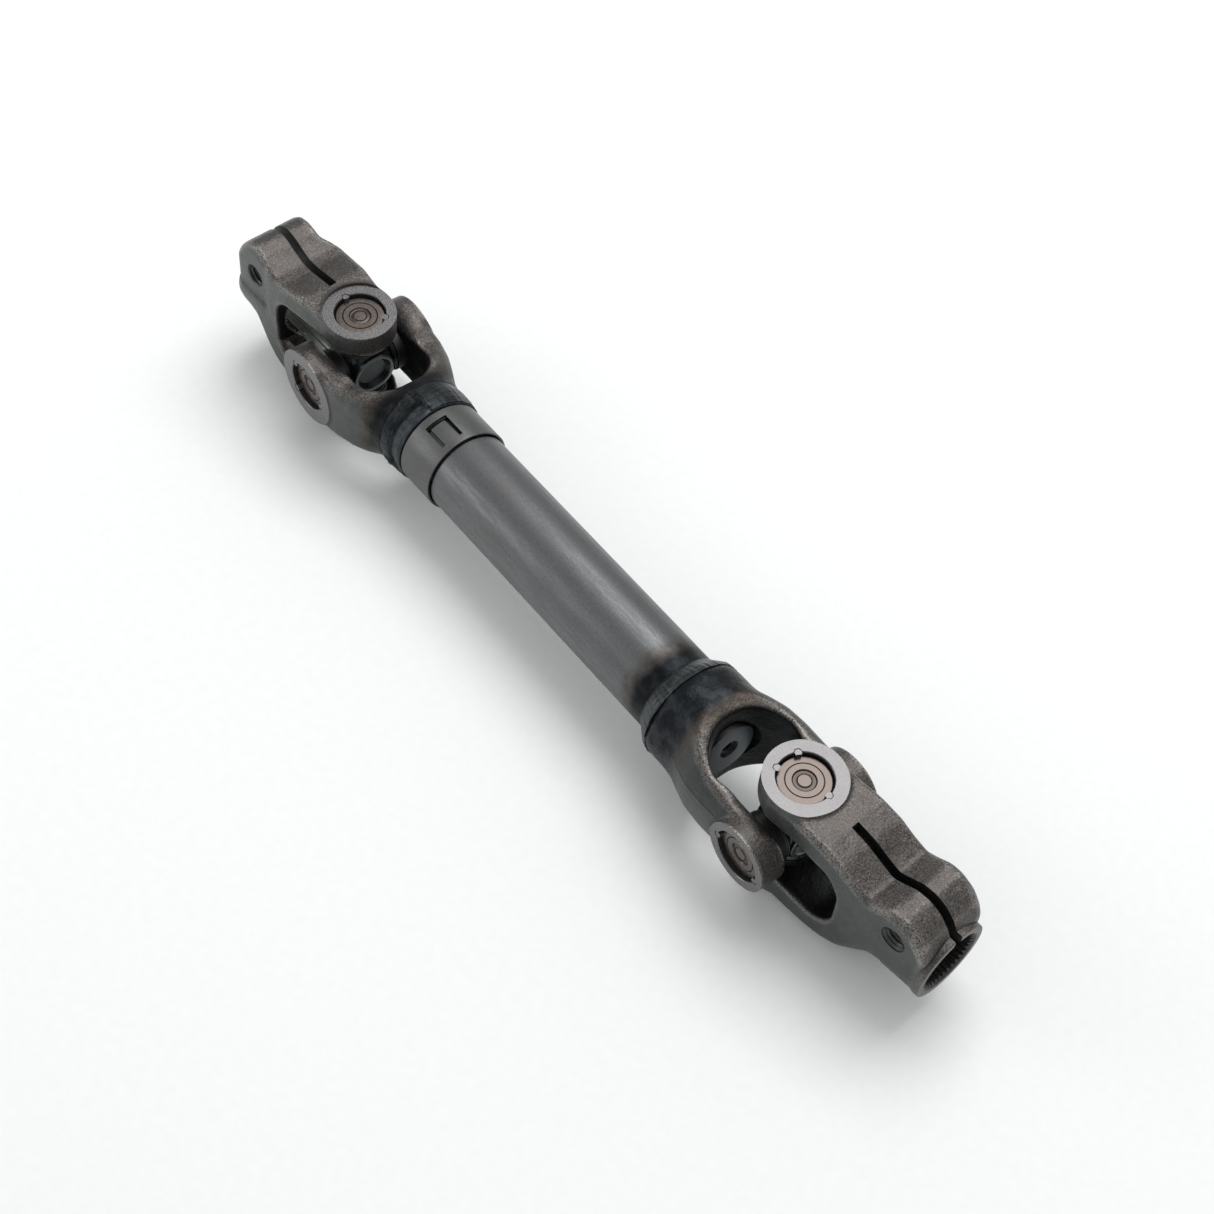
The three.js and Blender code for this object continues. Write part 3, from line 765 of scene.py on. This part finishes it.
def clamp_field(spec, seed):
    xs, width, top, bottom, top_corner, bottom_corner = columns(spec["stations"])
    inside = spec["inside"]

    def distance(x, y, z):
        high, low = eased(x, xs, top), eased(x, xs, bottom)
        middle = (high + low) / 2
        corner = np.where(z > middle, eased(x, xs, top_corner), eased(x, xs, bottom_corner))
        solid = rounded_box(y, z - middle, eased(x, xs, width), (high - low) / 2, corner)
        solid = soft_max(solid, -x - 2, 1.5)
        solid = soft_max(solid, x - (xs[-1] + 0.3), 2.2)
        ear = np.maximum(np.hypot(x, y) - spec["ring"], np.abs(z) - spec["ring_face"] - 0.6)
        solid = soft_min(solid, ear, 1.6)
        throat = slot_gap(x, z, spec["window"], inside, WINDOW_CORNER)
        solid = soft_max(solid, -throat, 1.6)
        if spec["saddle"]:
            # the lower arm thickens under the bore, whose serrations run on into it
            start, stop = spec["saddle"], spec["window"] + 1
            saddle = rounded_box(x - (start + stop) / 2, y, (stop - start) / 2, 9.6, 2.0)
            saddle = np.maximum(saddle, np.abs(z + inside - 1.4) - 3.2)
            solid = soft_min(solid, saddle, 2.0)
        if spec["lug"]:
            # the bolt lug is narrower than the arms
            half, shift = spec["lug"]
            widened = eased(x, [26, 32], [4, 0]) + np.maximum(3 - z, 0)
            solid = soft_max(solid, np.abs(y - shift) - half - widened, 1.8)
        return solid + waviness(x, y, z, seed, 0.07)

    return Field(distance, (-14, -15, -23), (spec["end"] + 4, 15, 25), FINE)


def tube_yoke_field(spec, seed):
    xs, width, height, corner = columns(spec["stations"])
    inside = spec["inside"]

    def distance(x, y, z):
        w, h = eased(x, xs, width), eased(x, xs, height)
        solid = rounded_box(y, z, w, h, eased(x, xs, corner))
        if spec["crease"]:
            # the outer faces are flat below a crease and slope away above it
            slope = CREASE_NORMAL[0] * (np.abs(y) - w)
            slope = slope + CREASE_NORMAL[1] * (np.abs(z) - spec["crease"])
            solid = soft_max(solid, slope, 2.5)
        solid = soft_max(solid, -x - 2, 1.5)
        solid = soft_max(solid, x - xs[-1], 0.8)
        ear = np.maximum(np.hypot(x, z) - spec["ring"] - 0.3, np.abs(y) - spec["ring_face"] - 0.5)
        solid = soft_min(solid, ear, 1.2)
        throat = throat_gap(spec, x, y)
        solid = soft_max(solid, -throat, 1.5)
        # eased inner edges, which let the clamp yoke swing past
        edge = spec["flare"] + np.maximum(x - 8.5, 0) * 0.55
        flare = FLARE_NORMAL[0] * (np.abs(y) - inside) - FLARE_NORMAL[1] * (np.abs(z) - edge)
        flare = np.maximum(flare, x - spec["throat"] + 6)
        solid = soft_max(solid, -flare, 2.0)
        return solid + waviness(x, y, z, seed, 0.06)

    return Field(distance, (-14, -22, -18), (xs[-1] + 3, 22, 18), FINE)


def toothed(teeth, tip, root, parts):
    """Outline of teeth round X, as [y, z]."""
    outline = []
    for tooth in range(teeth):
        for part, radius in zip(parts, (root, root, tip, tip)):
            angle = 2 * pi * (tooth + part) / teeth
            outline.append((radius * cos(angle), radius * sin(angle)))
    return outline


def threaded_tool(radius, x, z, pitch=1.25, depth=0.55, half=16):
    """Tapped hole along Y: V grooves one pitch apart."""
    outline = [(-half, 0)]
    count = int(2 * half / pitch)
    for k in range(count):
        along = -half + k * pitch
        outline += [(along, radius - depth), (along + pitch / 2, radius)]
    outline += [(-half + count * pitch, radius - depth), (-half + count * pitch, 0)]
    return moved(lathe("thread", outline, "y", 48), at(x, 0, z))


def ring_tools(axis, spec, margin, bore=EAR_BORE):
    """Facing cuts over both ears and the bore through them, along 'y' or 'z'."""
    face, radius = spec["ring_face"], spec["ring"] + margin
    tools = []
    for side in (-1, 1):
        tools.append(lathe("facing", [
            (side * face, 0), (side * face, radius), (side * (face + 6), radius), (side * (face + 6), 0),
        ], axis, 96))
        tools.append(lathe("mouth", [
            (side * (face - 0.35), 0), (side * (face - 0.35), bore - 0.05),
            (side * (face + 0.1), bore + 0.3), (side * (face + 0.1), 0),
        ], axis, 96))
    tools.append(lathe("pins", [(-40, 0), (-40, bore), (40, bore), (40, 0)], axis, 96))
    return tools


def stake(axis, spec, angle, side, pocket):
    """Punch mark at the bore's rim: the pocket, or the metal left in it."""
    grow, depth, below = (0.2, 2.0, -0.5) if pocket else (0.0, 1.9, 0.08)
    inner, outer = EAR_BORE - 0.75 - grow, EAR_BORE + 0.85 + grow
    half = [(inner, 0.8 + grow), (EAR_BORE + 0.1, 1.0 + grow), (outer, 0.45 + grow * 0.7)]
    outline = half + [(r, -t) for r, t in reversed(half)]
    high = spec["ring_face"] - below
    tool = prism(outline, high - depth, high)
    for vertex in tool.data.vertices:
        vertex.co.x *= side
    upright = {
        "z": Matrix(((0, 1, 0, 0), (0, 0, 1, 0), (1, 0, 0, 0), (0, 0, 0, 1))),
        "y": Matrix(((0, 1, 0, 0), (1, 0, 0, 0), (0, 0, 1, 0), (0, 0, 0, 1))),
    }[axis]
    tool.data.transform(upright)
    fix_normals(tool)
    return moved(tool, turned(angle, "Z") if axis == "z" else turned(-angle, "Y"))


def stake_metals(name, axis, spec, marks, place, body):
    for label, angle, side in marks:
        metal = stake(axis, spec, angle, side, False)
        finish_piece(metal, name + label, place, body, [], [RING], 10)


def dress(obj, field, axis, spec, is_cut):
    """Edge wear with painted hollow shade, side, and painted inner shade attributes from the field, and
    materials by what made each face.
    """
    points, centre, normal = corner_arrays(obj)
    # the field's bulge: positive on convex edges (wear), negative in hollows (painted shade)
    bulge = field.blurred(1.1) - field.values
    set_attribute(obj, "wear_and_hollow_shade", field.sample(bulge, points))
    normals = read(obj.data.vertices, "normal", 3, np.float32)
    flat = np.clip((np.abs(normals[:, 1]) - 0.45) / 0.4, 0, 1)
    set_attribute(obj, "side", flat)
    k = "xyz".index(axis)
    along, across = points[:, 0], points[:, k]
    if axis == "y":
        gap = throat_gap(spec, along, across)
    else:
        gap = slot_gap(along, across, spec["window"], spec["inside"], WINDOW_CORNER)
    # how near a face lies to the window or throat: the mask of the painted shade there
    inner = np.clip(1.2 - gap / 0.6, 0, 1)
    # the saddle, lit through the window, keeps little of this painted shade
    if spec.get("saddle"):
        inner *= np.where((points[:, 0] > spec["saddle"] - 1) & (points[:, 2] < -7), 0.15, 1)
    set_attribute(obj, "inner", inner)
    radius = np.hypot(*np.delete(centre, k, axis=1).T)
    outward, face = np.abs(centre[:, k]), spec["ring_face"]
    faced = (np.abs(outward - face) < 0.06) & (np.abs(normal[:, k]) > 0.98)
    rim = (outward > face - 0.4) & (radius < EAR_BORE + 0.35)
    bored = (radius < EAR_BORE + 0.1) & (outward < face)
    index = is_cut(centre, normal).astype(np.int32)
    index[bored] = 2
    index[faced | rim] = 1
    obj.data.polygons.foreach_set("material_index", index)


def clamp_yoke(prefix, seed):
    spec = CLAMPS[prefix]
    field = clamp_field(spec, seed)
    obj = fix_normals(new_object(prefix + "_clamp_forging", *field.skin()))
    end, lip = spec["end"], spec["lip"]
    boolean(obj, lathe("lip", [
        (end - 6, 0), (end - 6, lip - 1.2), (end - spec["lip_length"], lip, 0.3),
        (end, lip, 0.45), (end, 0),
    ], "x", 128), "UNION")
    boolean(obj, box(end, end + 20, -30, 30, -30, 40))
    for tool in ring_tools("z", spec, 0.35):
        boolean(obj, tool)
    boolean(obj, prism(toothed(*SERRATIONS), 6, end + 5))
    boolean(obj, lathe("mouth", [
        (end - 1.1, 0), (end - 1.1, 8.4), (end + 0.1, 9.7), (end + 0.1, 0),
    ], "x", 96))
    boolean(obj, box(spec["slot_start"], end + 9, -SLOT / 2, SLOT / 2, 3, 40))
    x, z = spec["bolt"]
    bolt, cheek = spec["bolt_radius"], spec["stations"][-3][1]
    boolean(obj, threaded_tool(bolt, x, z))
    for side in (-1, 1):
        boolean(obj, moved(lathe("bolt_mouth", [
            (side * 40, 0), (side * 40, bolt + 0.3), (side * (cheek - 0.35), bolt + 0.3),
            (side * (cheek - 1.2), bolt - 0.5), (side * (cheek - 1.2), 0),
        ], "y", 48), at(x, 0, z)))
    marks = []
    for number, angle in enumerate(spec["stakes"]):
        marks += [(f"top_{number}", angle, 1), (f"bottom_{number}", angle + 40, -1)]
    for _, angle, side in marks:
        boolean(obj, stake("z", spec, angle, side, True))

    def is_cut(centre, normal):
        slot = (np.abs(np.abs(centre[:, 1]) - SLOT / 2) < 0.05) & (np.abs(normal[:, 1]) > 0.98)
        bore = np.hypot(centre[:, 1], centre[:, 2]) < 9.3
        hole = np.hypot(centre[:, 0] - x, centre[:, 2] - z) < bolt + 0.05
        serrated = bore & (centre[:, 0] > spec["window"] - 12)
        saddle = serrated & (centre[:, 0] < spec["window"] + 1.5)
        # slot walls and bore take the near-black cut steel as painted shade, the saddle the brightened
        # serration steel as painted light
        return np.select([hole, slot, saddle, serrated], [4, 2, 3, 2], 0)

    dress(obj, field, "z", spec, is_cut)
    place, body = PLACES[prefix]["clamp"], prefix + "_clamp_body"
    finish_piece(obj, prefix + "_clamp_forging", place, body, [prefix + "_clamp_yoke"],
                 [FORGED, RING, SHADED_CUT, LIT_SERRATION, THREAD])
    stake_metals(prefix + "_clamp_stake_", "z", spec, marks, place, body)


def tube_yoke(prefix, seed, material):
    spec = TUBE_YOKES[prefix]
    field = tube_yoke_field(spec, seed)
    obj = fix_normals(new_object(prefix + "_tube_forging", *field.skin()))
    for tool in ring_tools("y", spec, 1.2):
        boolean(obj, tool)
    hub = SPIGOT + 0.12
    boolean(obj, lathe("hub", [(5, 0), (5, hub), (70, hub), (70, 0)], "x", 96))
    boolean(obj, lathe("hub_mouth", [
        (spec["throat"] - 4, 0), (spec["throat"] - 4, hub + 0.9), (spec["throat"] + 0.6, hub + 0.9),
        (spec["throat"] + 1.4, hub - 0.1), (spec["throat"] + 1.4, 0),
    ], "x", 96))
    near = -1 if prefix == "upper" else 1      # the side that faces -Y in the part
    marks = []
    for number, angle in enumerate(spec["stakes"]):
        shown = angle if prefix == "upper" else 180 - angle
        for side in (-1, 1):
            label, turn = ("near", 0) if side == near else ("far", 30)
            marks.append((f"{label}_{number}", shown + turn, side))
    for _, angle, side in marks:
        boolean(obj, stake("y", spec, angle, side, True))

    def is_cut(centre, normal):
        # the hub bore takes the near-black cut steel: painted shade
        return np.where(np.hypot(centre[:, 1], centre[:, 2]) < hub + 0.05, 2, 0)

    dress(obj, field, "y", spec, is_cut)
    place, body = PLACES[prefix]["tube"], TUBE_BODY[prefix]
    finish_piece(obj, prefix + "_tube_forging", place, body, [prefix + "_tube_yoke"],
                 [material, RING, SHADED_CUT])
    stake_metals(prefix + "_tube_stake_", "y", spec, marks, place, body)


# ----------------------------------------------------------- cross, bearings

EARS = {
    "left": turned(0, "Z"), "right": turned(180, "Z"),
    "top": turned(90, "X"), "bottom": turned(-90, "X"),
}


def bearing(prefix, ear):
    """Cup, needles and seal of one ear, built along +Y and turned to it."""
    place = PLACES[prefix]
    clamped = ear in ("top", "bottom")
    # the upper clamp yoke and the lower tube yoke stand turned round about Z
    backwards = clamped == (prefix == "upper")
    half = turned(180, "Z") if backwards else Matrix.Identity(4)
    out = Matrix.Translation((0, CLAMP_OFFSET * MM if clamped else 0, 0))
    cup_place = place["clamp" if clamped else "tube"] @ half @ EARS[ear] @ out
    cup_body = prefix + "_clamp_body" if clamped else TUBE_BODY[prefix]
    end, wall = CUP_END, 1.0
    mouth, floor = end - CUP_LENGTH, end - wall
    cup = lathe("cup", [
        (floor, 0), (floor, CUP_RADIUS - wall, 0.4), (mouth + 0.5, CUP_RADIUS - wall),
        (mouth, CUP_RADIUS - 0.6, 0.2), (mouth, CUP_RADIUS, 0.2),
        (end, CUP_RADIUS, 0.55),
        (end, 5.2), (end - 0.22, 5.06), (end - 0.22, 4.98), (end, 4.84),
        (end, 3.3), (end - 0.45, 3.02), (end - 0.5, 2.7, 0.3), (end - 0.42, 2.0, 0.3),
        (end - 0.12, 1.75, 0.1), (end - 0.16, 0),
    ], "y", 96)
    # the cup's side walls, under the ears, take the near-black cut steel: painted shade
    shaded_walls = [abs(polygon.normal.y) < 0.5 for polygon in cup.data.polygons]
    cup.data.polygons.foreach_set("material_index", shaded_walls)
    finish_piece(cup, f"{prefix}_cup_shell_{ear}", cup_place, cup_body,
                 [f"{prefix}_cup_{ear}"], [CUP_STEEL, SHADED_CUT], 28)

    cross_place = place["cross"] @ EARS[ear] @ out
    body = prefix + "_cross_body"
    vertices, faces = [], []
    needle, orbit, sides = 0.78, (PIN_RADIUS + CUP_RADIUS - wall) / 2, 10
    outline = [(10.0, 0.5), (10.25, needle), (16.15, needle), (16.4, 0.5)]
    for k in range(NEEDLES):
        centre = 2 * pi * k / NEEDLES
        across, up = orbit * cos(centre), orbit * sin(centre)
        start = len(vertices)
        for along, r in outline:
            for s in range(sides):
                a = 2 * pi * s / sides
                vertices.append((across + r * cos(a), along, up + r * sin(a)))
        for ring in range(3):
            for s in range(sides):
                a, b = start + ring * sides + s, start + ring * sides + (s + 1) % sides
                faces.append((a, b, b + sides, a + sides))
        faces.append(tuple(range(start, start + sides)))
        faces.append(tuple(range(start + 4 * sides - 1, start + 3 * sides - 1, -1)))
    needles = fix_normals(new_object("needles", vertices, faces))
    finish_piece(needles, f"{prefix}_needles_{ear}", cross_place, body,
                 [f"{prefix}_rollers_{ear}"], [PIN_STEEL], 40)

    seal = lathe("seal", [
        (7.1, PIN_RADIUS + 0.1), (7.1, 6.6, 0.25), (7.5, 7.15, 0.2), (7.75, 6.85, 0.1),
        (8.0, 7.15, 0.2), (8.42, 7.0, 0.2), (8.42, PIN_RADIUS + 0.1),
    ], "y", 72)
    # the flange nearest the cross is the seal's steel shield
    shield = [polygon.center.y < 7.45 * MM for polygon in seal.data.polygons]
    seal.data.polygons.foreach_set("material_index", shield)
    finish_piece(seal, f"{prefix}_seal_ring_{ear}", cross_place, body,
                 [f"{prefix}_seal_{ear}"], [RUBBER, SHIELD])


def cross(prefix, seed):
    """Forged spider: four ground pins and a dished round boss on each bare face."""

    def distance(x, y, z):
        core = np.maximum(np.hypot(y, z) - 6.9, np.abs(x) - 5.9)
        block = np.maximum(rounded_box(y, z, 6.3, 6.3, 2.2), np.abs(x) - 5.0)
        solid = soft_min(core, block, 1.5)
        for across, along, end in ((z, y, 7.0), (y, z, 7.0 + CLAMP_OFFSET)):
            arm = np.hypot(x, across) - 5.7 + 0.06 * np.abs(along)
            arm = np.maximum(arm, np.abs(along) - end)
            solid = soft_min(solid, arm, 1.6)
        return solid + waviness(x, y, z, seed, 0.05)

    field = Field(distance, (-9, -9, -9), (9, 9, 9), 0.3)
    obj = fix_normals(new_object("cross", *field.skin()))
    for side in (-1, 1):
        boolean(obj, lathe("boss", [
            (side * 3, 0), (side * 3, 6.4), (side * 5.6, 6.8, 0.3), (side * 7.2, 7.0, 0.45),
            (side * 7.2, 5.95, 0.2), (side * 5.5, 4.6, 0.3), (side * 5.5, 0),
        ], "x", 96), "UNION")
        boolean(obj, lathe("dish", [
            (side * 12, 0), (side * 12, 5.9), (side * 7.1, 5.85),
            (side * 5.45, 4.6, 0.3), (side * 5.6, 0),
        ], "x", 96))
    for axis, end in (("y", PIN_END), ("z", PIN_END + CLAMP_OFFSET)):
        boolean(obj, lathe("pin", [
            (-end, 0), (-end, PIN_RADIUS, 0.6), (end, PIN_RADIUS, 0.6), (end, 0),
        ], axis, 64), "UNION")
    finish_piece(obj, prefix + "_spider", PLACES[prefix]["cross"], prefix + "_cross_body",
                 [prefix + "_cross"], [CROSS_STEEL])


# ------------------------------------------------------ tube, cap, slip shaft


def outer_tube():
    tube = lathe("tube", [
        (TUBE_START, 0), (TUBE_START, 11.9, 0.3),
        (CAP_END + 0.35, 11.9), (CAP_END + 0.55, TUBE_RADIUS, 0.15),
        (TUBE_END, TUBE_RADIUS, 0.2), (TUBE_END, 0),
    ], "x", 160)
    boolean(tube, prism(toothed(*TUBE_SPLINE), TUBE_START - 1, TUBE_END + 1))
    finish_piece(tube, "tube_skin", SHAFT, "tube_body", ["outer_tube"],
                 [TUBE_STEEL, SHADED_CUT])


def dust_cap():
    inner, inside = CAP_RADIUS - CAP_WALL, CAP_START + CAP_WALL
    cap = lathe("cap", [
        (CAP_START, CAP_OPENING), (CAP_START, CAP_RADIUS, 0.7), (CAP_END, CAP_RADIUS, 0.18),
        (CAP_END, inner, 0.18), (inside, inner, 0.3), (inside, CAP_OPENING),
    ], "x", 160)
    # the snap tab: a U cut through the wall, its tongue pressed in towards the free end
    start, length, half, cut, turn = 43.5, 8.6, 3.05, 1.1, 13
    end, free = start + length, start + cut
    across = box(start, free, -half - cut / 2, half + cut / 2, 9, 16)
    legs = [box(free - 0.01, end, side * half - cut / 2, side * half + cut / 2, 9, 16)
            for side in (-1, 1)]
    for tool in (across, *legs):
        boolean(cap, moved(tool, turned(turn, "X")))
    for vertex in cap.data.vertices:
        x, y, z = vertex.co
        angle = math.degrees(math.atan2(z, y)) - 90 - turn
        inside_legs = abs(radians(angle) * CAP_RADIUS) < half - cut / 2 + 0.02
        if inside_legs and free * MM - 1e-6 < x < end * MM:
            press = 1 - (x - free * MM) / ((length - cut) * MM)
            shrink = 1 - 0.55 * press / CAP_RADIUS
            vertex.co = (x, y * shrink, z * shrink)
    finish_piece(cap, "cap_shell", SHAFT, "tube_body", ["dust_cap"], [CAP_STEEL])

    seal = lathe("cap_seal", [
        (41.5, CAP_OPENING, 0.2), (41.5, 12.75, 0.2),
        (43.75, 12.75, 0.2), (43.75, CAP_OPENING, 0.2),
    ], "x", 96)
    finish_piece(seal, "cap_seal_ring", SHAFT, "tube_body", ["cap_seal"], [RUBBER])


def slip_shaft():
    shaft = lathe("slip", [
        (25.2, 0), (25.2, SPIGOT, 0.3), (32.4, SPIGOT), (32.4, 12.4), (35.6, 12.4),
        (35.7, 13.2, 0.3), (37.6, 13.5, 0.5), (39.1, 13.95, 0.6), (40.3, 13.8, 0.3),
        (40.3, 8.9), (47.0, 8.9), (47.0, 0),
    ], "x", 128)
    boolean(shaft, prism(toothed(*SHAFT_SPLINE), 46, SLIP_END), "UNION")
    hollow = [(60, 0), (60, 5.5), (SLIP_END + 1, 5.5), (SLIP_END + 1, 0)]
    centre_hole = [(24, 0), (24, 2.0), (25.6, 1.3), (28.4, 1.2), (29, 0)]
    for outline in (hollow, centre_hole):
        boolean(shaft, lathe("hole", outline, "x", 48))
    finish_piece(shaft, "slip_spline", SHAFT, "slip_body", ["slip_shaft"],
                 [BLUED, SHAFT_STEEL])
    bright = [polygon.center.x > 45 * MM for polygon in shaft.data.polygons]
    shaft.data.polygons.foreach_set("material_index", bright)


def hub_plug():
    head = 9.15
    start, step, face = TUBE_END - 12, TUBE_END - 0.2, SPAN - PLUG_FACE
    plug = lathe("plug", [
        (start, 0), (start, head, 0.4), (step, head), (step, SPIGOT), (face, SPIGOT, 0.15),
        (face, 3.0, 0.15), (face - 0.9, 2.3, 0.2), (face - 1.1, 1.5), (face - 3.4, 1.2),
        (face - 4, 0),
    ], "x", 96)
    # the plug's sides and centre hole take the near-black cut steel: painted shade
    dark = [polygon.normal.x < 0.6 or polygon.center.x < (face - 0.4) * MM
            for polygon in plug.data.polygons]
    plug.data.polygons.foreach_set("material_index", dark)
    finish_piece(plug, "plug_turned", SHAFT, "tube_body", ["hub_plug"],
                 [PLUG_STEEL, SHADED_CUT])


def upper_weld():
    """Weld foot round the hub's end; on one side a second run closes the groove."""
    draws = np.random.default_rng(11)
    phases = draws.uniform(0, 2 * pi, 6)
    # where the closing run starts and ends, in degrees from +Y towards +Z
    runs = ((-78, 99), (203, 258))
    # spatter: along, degrees, height, reach in mm
    blobs = ((32.6, 201, 0.55, 1.0), (33.9, 207, 0.45, 0.8), (36.4, 98, 0.5, 1.3),
             (36.9, 112, 0.35, 0.9), (36.6, 128, 0.3, 1.1), (37.2, 150, 0.25, 1.0))
    collar, collar_start = 13.1, 35.7

    def fill(degrees):
        best = 0.0
        for start, end in runs:
            for shift in (-360, 0, 360):
                inside = min(degrees + shift - start, end - degrees - shift)
                best = max(best, min(1.0, max(0.0, (inside + 3) / 5)))
        return best * best * (3 - 2 * best)

    def radius_at(along, radius, angle):
        if radius < 12.3:
            return radius
        degrees = math.degrees(angle)
        full = fill(degrees)
        lump = sum(sin(n * angle + p) for n, p in zip((5, 9, 17, 31, 43, 58), phases)) * 0.02
        lump += 0.015 * sin(2 * angle + 3.0 * along)
        foot = np.interp(along, (31.0, 32.0, 33.4, 34.3, 34.9), (14.28, 14.2, 14.0, 13.7, 12.5))
        low = foot if along < collar_start else min(radius, collar)
        value = low + (radius - low) * full + lump
        for place, turn, height, reach in blobs:
            away = ((degrees - turn + 180) % 360 - 180) * pi / 180 * 14
            gap = (away ** 2 + (along - place) ** 2) / reach ** 2
            value += height * math.exp(-gap)
        return value

    stations = [31.0 + 0.35 * k for k in range(27)]
    profile = [(x, np.interp(x, (31.0, 33.2, 34.3, 35.0, 36.0, 38.0, 40.1),
                             (14.28, 14.5, 14.62, 14.6, 14.58, 14.5, 14.2))) for x in stations]
    bead = lathe("bead", [
        (30.4, 10.4), (30.4, 13.9), *profile, (40.2, 12.2), (32.6, 12.2), (32.6, 10.4),
    ], "x", 300, radius_at)
    finish_piece(bead, "upper_weld_bead", SHAFT, "slip_body", ["upper_weld"],
                 [UPPER_WELD], 60)


def lower_weld():
    draws = np.random.default_rng(12)
    phases = draws.uniform(0, 2 * pi, 5)

    def radius_at(along, radius, angle):
        if radius < 12.9:
            return radius
        lump = sum(sin(n * angle + p) for n, p in zip((5, 11, 19, 37, 61), phases)) * 0.05
        ripple = 0.03 * sin(angle * 7 + 3.4 * (along - 152))
        return radius + (lump + ripple) * min(1, (along - toe) / 1.5)

    face = SPAN - 42.6
    toe = 151.8            # the lumps fade out towards the tube from here
    bead = lathe("bead", [
        (face - 5.4, 12.6), (face - 5.3, 12.95), (face - 4.2, 13.5), (face - 3.0, 14.3),
        (face - 2.0, 15.0), (face - 1.0, 15.55), (face + 0.3, 15.9), (face + 0.6, 14.9),
        (face + 0.6, 12.6),
    ], "x", 360, radius_at)
    finish_piece(bead, "lower_weld_bead", SHAFT, "tube_body", ["lower_weld"],
                 [LOWER_WELD], 60)


# ----------------------------------------------------------------- assembly

for number, prefix in enumerate(("upper", "lower")):
    clamp_yoke(prefix, 3 + number)
    cross(prefix, 7 + number)
    for ear in EARS:
        bearing(prefix, ear)
tube_yoke("upper", 5, FORGED_UPPER_HUB)
tube_yoke("lower", 6, FORGED_LOWER_HUB)
outer_tube()
dust_cap()
slip_shaft()
hub_plug()
upper_weld()
lower_weld()

# -------------------------------------------------------- floor, light, camera


def studio():
    floor_height = min(cad_box[0].z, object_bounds()[0].z) - 0.0003
    bpy.ops.mesh.primitive_plane_add(size=12, location=(0, 0, floor_height))
    floor = bpy.context.object
    floor.name = "floor"
    look = Look("floor_paper", roughness=0.9)
    fibre = look.noise(3.0, 3)
    colour = look.ramp(fibre, [(0.3, (0.90, 0.90, 0.90)), (0.7, (0.92, 0.92, 0.92))])
    floor.data.materials.append(look.done(colour))
    floor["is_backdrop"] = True

    world = bpy.data.worlds.new("studio")
    bpy.context.scene.world = world
    world.use_nodes = True
    background = world.node_tree.nodes["Background"]
    background.inputs["Color"].default_value = (0.97, 1.0, 1.0, 1)
    background.inputs["Strength"].default_value = 0.58

    for name, place, aim, size, power in (
        ("softbox", (-0.14, 0.42, 1.05), (0, 0, 0), (0.90, 0.80), 8.6),
        ("side_fill", (-0.8, -0.75, 0.40), (-0.1, 0, 0), (0.6, 0.6), 2.0),
    ):
        data = bpy.data.lights.new(name, "AREA")
        data.shape = "RECTANGLE"
        data.size, data.size_y = size
        data.energy = power
        light = bpy.data.objects.new(name, data)
        light.location = place
        light.rotation_euler = (Vector(aim) - Vector(place)).to_track_quat("-Z", "Y").to_euler()
        bpy.context.scene.collection.objects.link(light)


def camera():
    data = bpy.data.cameras.new("camera")
    data.sensor_width = 36
    data.lens = 67.25
    data.clip_start = 0.01
    obj = bpy.data.objects.new("camera", data)
    obj.location = (0.3076, -0.2410, 0.4873)
    obj.rotation_euler = [radians(a) for a in (37.94, -1.85, 52.73)]
    bpy.context.scene.collection.objects.link(obj)
    bpy.context.scene.camera = obj


studio()
camera()
bpy.context.scene.view_settings.view_transform = "Standard"
